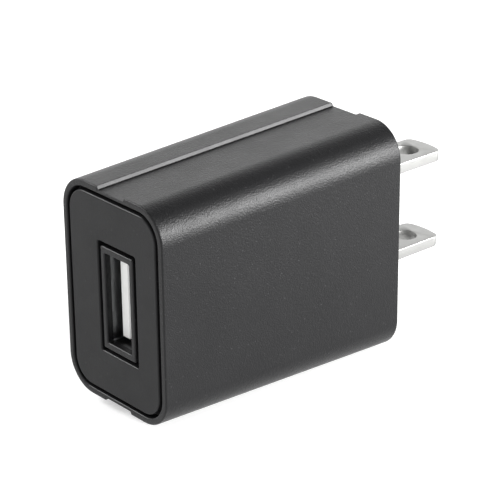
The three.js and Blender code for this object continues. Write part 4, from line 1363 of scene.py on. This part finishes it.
@dataclass
class Transformer:
    """The flyback transformer: two ferrite halves, bobbin, turns of copper, tape and six pins."""

    board: Board
    wire: float = 0.32

    def build(self) -> None:
        """Builds its pieces."""
        for half in ("inner", "outer"):
            soften_node(f"core_half_{half}", f"ferrite_half_{half}", FERRITE, "ferrite", 0.14, 3)
        soften_node("bobbin", "moulded_bobbin", PHENOLIC, "bobbin_resin", 0.08)
        self.turns()
        for place, width in (("winding", 0.03), ("core", 0.04)):
            soften_node(f"{place}_tape", f"tape_over_{place}", POLYESTER_TAPE, "yellow_tape", width, 1, 50)
        for number in range(1, 7):
            node = f"transformer_pin_{number}"
            box = NodeBox.of(node)
            pin = self.board.straight_lead(box.centre.y, box.centre.z, box.low.x)
            pin.name = f"bobbin_pin_{number}"
            hand_over(pin, TINNED_STEEL, "solder", node)

    def turns(self) -> None:
        """The winding: a closed core of copper under one layer of single turns."""
        box = NodeBox.of("winding")
        size = (box.size.y, box.size.z)
        count = int(box.size.x / self.wire)
        start = box.centre.x - (count - 1) * self.wire / 2
        maker = wire_turns("copper_turns", COPPER, self.wire, size, 1.0)
        layer = maker.run([(start + i * self.wire, box.centre.y, box.centre.z) for i in range(count)])
        inner = 0.75 * self.wire
        bulk = copy_of_node("winding", "bulk")
        for vertex in bulk.data.vertices:
            place = vertex.co / MM - box.centre
            outside = abs(place.y) > box.size.y / 2 - 1.1 or abs(place.z) > box.size.z / 2 - 1.1
            if outside:
                place.y *= 1 - 2 * inner / box.size.y
                place.z *= 1 - 2 * inner / box.size.z
            vertex.co = (place + box.centre) * MM
        shade(bulk.data, 35)
        piece = joined_piece("copper_winding", [(layer, COPPER), (bulk, COPPER)])
        hand_over(piece, None, "enamelled_copper", "winding")


@dataclass
class MainsParts:
    """The choke, the fusible resistor with its sleeve, and the safety capacitor."""

    board: Board

    def choke(self) -> None:
        """The filter choke: a drum core with its turns showing between the flanges."""
        box = NodeBox.of("filter_choke")
        y, z, radius = box.centre.y, box.centre.z, box.size.y / 2
        foot, top = self.board.face(Side.COMPONENT) - 0.3, box.low.x
        flange, waist = 0.8, 0.55 * radius
        drum = turned_solid("drum", [
            (top, radius, 0.18), (top + flange, radius, 0.12), (top + flange, waist, 0.1),
            (foot - flange, waist, 0.1), (foot - flange, radius, 0.12), (foot, radius, 0.18),
        ], y, z, 36)
        wire, across = 0.26, 2 * radius - 0.3
        count = int((foot - top - 2 * flange) / wire)
        first = (foot + top) / 2 - (count - 1) * wire / 2
        maker = wire_turns("choke_turns", COPPER, wire, (across, across), across / 2 - 0.02)
        turns = maker.run([(first + i * wire, y, z) for i in range(count)])
        under = across / 2 - wire * 0.6
        core = turned("core", on_axis([(top + flange, under), (foot - flange, under)]), y, z, 30)
        leads = [(self.board.straight_lead(y + side * 1.2, z, foot - 0.5), TINNED_STEEL) for side in (1, -1)]
        piece = joined_piece("drum_choke", [(drum, FERRITE), (turns, COPPER), (core, COPPER), *leads])
        hand_over(piece, None, "ferrite", "filter_choke")

    def resistor(self) -> None:
        """The fusible resistor on end, with one lead folded back to the board, and its shrunk sleeve."""
        box, sleeve = NodeBox.of("fusible_resistor"), NodeBox.of("resistor_sleeve")
        y, z = sleeve.centre.y, sleeve.centre.z
        far = z + 2.2
        foot = self.board.face(Side.COMPONENT) - 1.2
        top = foot - 8.0
        cap, middle = 1.2, 1.05
        body = turned_solid("body", [
            (top, cap, 0.4), (top + 1.6, cap, 0.3), (top + 2.0, middle, 0.3),
            (foot - 2.0, middle, 0.3), (foot - 1.6, cap, 0.3), (foot, cap, 0.4),
        ], y, z, 28)
        bend = self.board.lead
        crown = box.low.x + bend
        over = [(top + 0.4, y, z), (top - 0.1, y, z), (crown, y, z + 0.4), (crown, y, far - 0.4),
                (top + 0.2, y, far), (foot, y, far)]
        loop = tube("loop", over, bend)
        leads = [(self.board.straight_lead(y, place, foot - 0.3), TINNED_STEEL) for place in (z, far)]
        piece = joined_piece("wirewound_resistor", [(body, RESISTOR_COAT), (loop, TINNED_STEEL), *leads])
        hand_over(piece, None, "resistor_coat", "fusible_resistor")
        outer, inner = sleeve.size.y / 2, 1.3
        low, high = sleeve.low.x, sleeve.high.x
        within = inner - 1
        wall = filleted([(low, within, 0), (low, outer, 0.12), (high, outer, 0.12), (high, within, 0)], 4)
        shrunk = turned("shrunk_sleeve", [*wall, (high, inner), (low, inner)], y, z, 36)
        hand_over(shrunk, HEAT_SHRINK, "heat_shrink", "resistor_sleeve")

    def disc(self) -> None:
        """The ceramic disc capacitor: a dipped lens whose coat runs a little way down its leads."""
        box = NodeBox.of("safety_capacitor")
        radius, half = 3.6, 1.6
        middle = Vector((self.board.face(Side.COMPONENT) - 5.0, box.centre.y, box.centre.z))
        count = 9
        rings = []
        for level in range(1, count):
            height = math.cos(math.pi * level / count)
            reach = radius * (1 - abs(height) ** 2.6) ** 0.5
            rings.append([(middle.x + dx, middle.y + dy, middle.z + half * height)
                          for dx, dy in circle(reach, 40)])
        lens = new_piece("lens", *loft(rings, closed=False), 80)
        parts = [(lens, DIPPED_EPOXY)]
        for side in (1, -1):
            y = middle.y + side * 2.5
            run = turned_solid("run", [
                (middle.x + 1.6, 0.75, 0.3), (middle.x + 3.0, 0.55, 0.5), (middle.x + 4.1, 0.34, 0),
            ], y, middle.z, 20)
            lead = self.board.straight_lead(y, middle.z, middle.x + 3.0)
            parts += [(run, DIPPED_EPOXY), (lead, TINNED_STEEL)]
        hand_over(joined_piece("dipped_disc_capacitor", parts), None, "blue_epoxy", "safety_capacitor")

    def build(self) -> None:
        """Builds the three components."""
        self.choke()
        self.resistor()
        self.disc()


@dataclass
class MouldedPackage:
    """A moulded component on the solder side: drafted body, pin-one dimple and bent feet on two sides."""

    name: str
    node: str
    length: float
    width: float
    feet: Sequence[float]
    foot_width: float

    def build(self) -> None:
        """Builds the package from its node's box."""
        box = NodeBox.of(self.node)
        y, z, base, top = box.centre.y, box.centre.z, box.low.x, box.high.x
        waist = base + 0.45 * (top - base)
        levels = [(base + 0.15, 0.12), (waist - 0.06, 0.0), (waist + 0.06, 0.0), (top, 0.16)]
        rings = []
        for x, draft in levels:
            outline = rounded_ring(self.length - 2 * draft, self.width - 2 * draft, 0.12, 3)
            rings.append([(x, y + dy, z + dz) for dy, dz in outline])
        body = new_piece("body", *loft(rings, closed=False))
        soften(body, 0.05, 2, 20)
        dimple = turned("dimple", on_axis([(top - 0.08, 0.22), (top + 0.2, 0.26)]),
                        y - self.length / 2 + 0.7, z - self.width / 2 + 0.7, 20)
        combine(body, dimple, Solid.CUT_OUT)
        shade(body.data, 35)
        parts = [(body, EPOXY)]
        reach = box.size.z / 2
        for place in self.feet:
            for side in (1, -1):
                parts.append((self.foot(y + place, z, side, base, waist, reach), TINNED_STEEL))
        hand_over(joined_piece(self.name, parts), None, "epoxy_black", self.node)

    def foot(self, y: float, z: float, side: int, base: float, waist: float, reach: float) -> Piece:
        """One bent foot from the body's waist down to the board."""
        half, sheet = self.width / 2, 0.09
        knee = half + 0.35 * (reach - half)
        line = [(half - 0.3, waist), (knee, waist), (knee + 0.12, base + sheet), (reach, base + sheet)]
        upper = [(across, up + sheet) for across, up in line]
        lower = [(across - (0.1 if i in (1, 2) else 0), up - sheet) for i, (across, up) in enumerate(line)]
        outline = upper + lower[::-1]
        rings = [[(up, y + dy, z + side * across) for across, up in outline]
                 for dy in (-self.foot_width / 2, self.foot_width / 2)]
        foot = new_piece("foot", *loft(rings, closed=False))
        soften(foot, 0.025, 1)
        return foot


def chip_component(name: str, node: str, body: Finish, slot: str) -> None:
    """A ceramic chip with tinned end caps that wrap its ends."""
    box = NodeBox.of(node)
    (x0, y0, z0), (x1, y1, z1) = box.low, box.high
    cap = 0.4
    low, high = (x0 + 0.03, y0 + 0.1, z0 + 0.04), (x1 - 0.04, y1 - 0.1, z1 - 0.04)
    parts = [(rounded_block("block", low, high, 0.03), body)]
    for start, end in ((y0, y0 + cap), (y1 - cap, y1)):
        parts.append((rounded_block("cap", (x0, start, z0), (x1, end, z1), 0.06, 3), SOLDER))
    hand_over(joined_piece(name, parts), None, slot, node)


@dataclass
class Wiring:
    """The two insulated wires from the blades' tails to the board, with their soldered ends."""

    board: Board
    radius: float = 0.6
    core: float = 0.28

    def wire(self, name: str, node: str, finish: Finish, slot: str, route: Sequence[Point]) -> None:
        """One wire: insulation along the route, and bare tinned strands at both ends.

        Args:
            name: The piece's name.
            node: The CAD node that it stands for.
            finish: The insulation's finish.
            slot: The record's material slot.
            route: The wire's points, from the blade's tail to the board.
        """
        insulation = tube("insulation", route, self.radius, around=5)
        start, end = Vector(route[0]), Vector(route[-1])
        outward = (start - Vector(route[1])).normalized()
        tail = tube("tail", [start - outward * 0.5, start + outward * 0.25], self.core, False)
        through = tube("through", [end - Vector((0.6, 0, 0)), end + Vector((0.1, 0, 0))], self.core, False)
        piece = joined_piece(name, [(insulation, finish), (tail, TINNED_STEEL), (through, TINNED_STEEL)])
        hand_over(piece, None, slot, node)

    def joint(self, name: str, node: str) -> None:
        """The solder cone over a wire's end on the board's solder side."""
        box = NodeBox.of(node)
        base, top, radius = box.low.x, box.high.x, box.size.y / 2
        steps = 8
        slope = [(base + 0.06 + (top - base - 0.1) * t, 0.28 + (radius - 0.28) * (1 - t) ** 2.4)
                 for t in (step / steps for step in range(steps + 1))]
        profile = on_axis([(base, radius), *slope, (top, 0.18)])
        cone = turned(name, profile, box.centre.y, box.centre.z, 24, 60)
        hand_over(cone, SOLDER, "solder", node)

    def build(self) -> None:
        """Builds both wires and their joints."""
        face = self.board.face(Side.COMPONENT) - 0.15
        upper, lower = NodeBox.of("upper_blade").centre.z, NodeBox.of("lower_blade").centre.z
        self.wire("white_lead", "upper_lead_wire", WHITE_PVC, "white_wire", [
            (-2.3, -6.2, upper), (-4.6, -6.3, upper + 0.5), (-6.2, -6.3, upper + 2.6), (-4.8, -6.2, 11.3),
            (-1.5, -6.1, 11.9), (1.5, -6.1, 11.9), (face, -6.1, 11.9),
        ])
        self.wire("black_lead", "lower_lead_wire", BLACK_PVC, "black_wire", [
            (-2.3, -6.2, lower), (-4.4, -6.2, lower + 0.2), (-5.2, -6.1, lower + 1.6), (-3.8, -6.0, -3.5),
            (-1.0, -5.9, -3.4), (1.4, -5.9, -3.4), (face, -5.9, -3.4),
        ])
        self.joint("solder_at_white_lead", "upper_wire_solder")
        self.joint("solder_at_black_lead", "lower_wire_solder")


@dataclass
class Electronics:
    """Everything on the board."""

    board: Board = field(default_factory=Board)

    def build(self) -> None:
        """Builds the components, then the board and its solder."""
        cans = (
            ("mains_reservoir_1", "input_capacitor_1", 3.5), ("mains_reservoir_2", "input_capacitor_2", 3.5),
            ("output_reservoir", "output_capacitor", 2.5), ("chip_supply_reservoir", "supply_capacitor", 1.5),
        )
        for name, node, pitch in cans:
            CanCapacitor(name, node, pitch, self.board).build()
        Transformer(self.board).build()
        MainsParts(self.board).build()
        MouldedPackage("moulded_controller", "control_chip", 4.9, 3.9, (-1.9, -0.63, 0.63, 1.9), 0.42).build()
        MouldedPackage("moulded_bridge", "bridge_rectifier", 4.7, 3.9, (-1.25, 1.25), 0.6).build()
        MouldedPackage("moulded_diode", "output_diode", 3.6, 4.5, (0.0,), 2.0).build()
        for number in range(1, 5):
            chip_component(f"film_resistor_{number}", f"chip_resistor_{number}", EPOXY, "epoxy_black")
        for number in (1, 2):
            name, node = f"ceramic_capacitor_{number}", f"chip_capacitor_{number}"
            chip_component(name, node, TAN_CERAMIC, "tan_ceramic")
        Wiring(self.board).build()
        self.board.laminate()
        self.board.solder()


# ---------------------------------------------------------------- studio


@dataclass
class Studio:
    """The floor, the soft lights and the camera."""

    azimuth: float = 49.32
    elevation: float = 23.73
    roll: float = 0.61
    distance: float = 272.9
    lens: float = 150.96
    floor_glow: float = 0.45
    aim: Vector = field(default_factory=lambda: Vector((1.075, -17.804, 0.957)))

    def floor(self) -> None:
        """A wide matt white sheet that the charger stands on."""
        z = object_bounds()[0][2] / MM
        reach = 4000.0
        corners = [(-reach, -reach, z), (reach, -reach, z), (reach, reach, z), (-reach, reach, z)]
        sheet = new_piece("floor", corners, [(0, 1, 2, 3)])
        paper = Finish(name="matt_white_paper", tone="#D8D8D8", other_tone="#D4D4D4", drift=400.0,
                       gloss=(0.85, 0.95), gloss_size=300.0, grain=3.0, depth=0.02, specular=0.1)
        material = paper.material()
        shader = next(node for node in material.node_tree.nodes if node.type == "BSDF_PRINCIPLED")
        shader.inputs["Emission Color"].default_value = WHITE
        shader.inputs["Emission Strength"].default_value = self.floor_glow
        sheet.data.materials.append(material)
        sheet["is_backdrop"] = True

    def world(self) -> None:
        """A white room: bright around and below, dim overhead."""
        world = bpy.data.worlds.new("white_room")
        bpy.context.scene.world = world
        world.use_nodes = True
        tree = world.node_tree
        tree.nodes.clear()
        direction = add_node(tree, "ShaderNodeTexCoord").outputs["Generated"]
        height = add_node(tree, "ShaderNodeSeparateXYZ", {}, {"Vector": direction}).outputs["Z"]
        fade = remap(tree, height, (0.57, 0.8), (1.0, 0.1), interpolation_type="SMOOTHSTEP")
        background = add_node(tree, "ShaderNodeBackground", {}, {"Color": WHITE, "Strength": fade})
        add_node(tree, "ShaderNodeOutputWorld", {}, {"Surface": background.outputs["Background"]})

    def softbox(self, name: str, direction: Point, away: float, size: Pair, power: float) -> None:
        """A rectangular soft light that faces the charger's middle.

        Args:
            name: The light's name.
            direction: Where it stands, seen from the charger.
            away: Its distance in millimetres.
            size: Its width and height in millimetres.
            power: Its power in watts.
        """
        light = bpy.data.lights.new(name, "AREA")
        light.shape = "RECTANGLE"
        light.size, light.size_y = size[0] * MM, size[1] * MM
        light.energy = power
        lamp = add_object(name, light)
        toward = Vector(direction).normalized()
        lamp.location = (self.aim + toward * away) * MM
        lamp.rotation_euler = toward.to_track_quat("Z", "Y").to_euler()

    def camera(self) -> None:
        """The camera in front of the right-hand corner of the front face, looking down a little."""
        turn, rise = math.radians(self.azimuth), math.radians(self.elevation)
        back = Vector((math.sin(turn) * math.cos(rise), -math.cos(turn) * math.cos(rise), math.sin(rise)))
        level = Vector((0, 0, 1)).cross(back).normalized()
        upright = back.cross(level)
        lean = math.radians(self.roll)
        right = level * math.cos(lean) - upright * math.sin(lean)
        up = back.cross(right)
        data = bpy.data.cameras.new("camera")
        data.lens = self.lens
        data.clip_start, data.clip_end = 0.01, 20.0
        camera = add_object("camera", data)
        place = Matrix((right, up, back)).transposed().to_4x4()
        place.translation = (self.aim + back * self.distance) * MM
        camera.matrix_world = place
        bpy.context.scene.camera = camera

    def build(self) -> None:
        """Sets up the whole studio."""
        bpy.context.scene.view_settings.view_transform = "Standard"
        self.floor()
        self.world()
        self.softbox("edge_light", (0.77, 0.58, 0.25), 900.0, (420.0, 330.0), 20.0)
        self.softbox("back_light", (-0.71, 0.56, 0.42), 1000.0, (900.0, 560.0), 1.9)
        self.softbox("key_light", (-0.7, -0.42, 0.56), 1000.0, (350.0, 350.0), 9.0)
        self.camera()


def main() -> None:
    """Builds the charger and its studio."""
    logging.basicConfig(level=logging.INFO, format="%(message)s")
    Enclosure().build()
    Blades().build()
    Receptacle().build()
    Electronics().build()
    Studio().build()


if __name__ == "__main__":
    main()
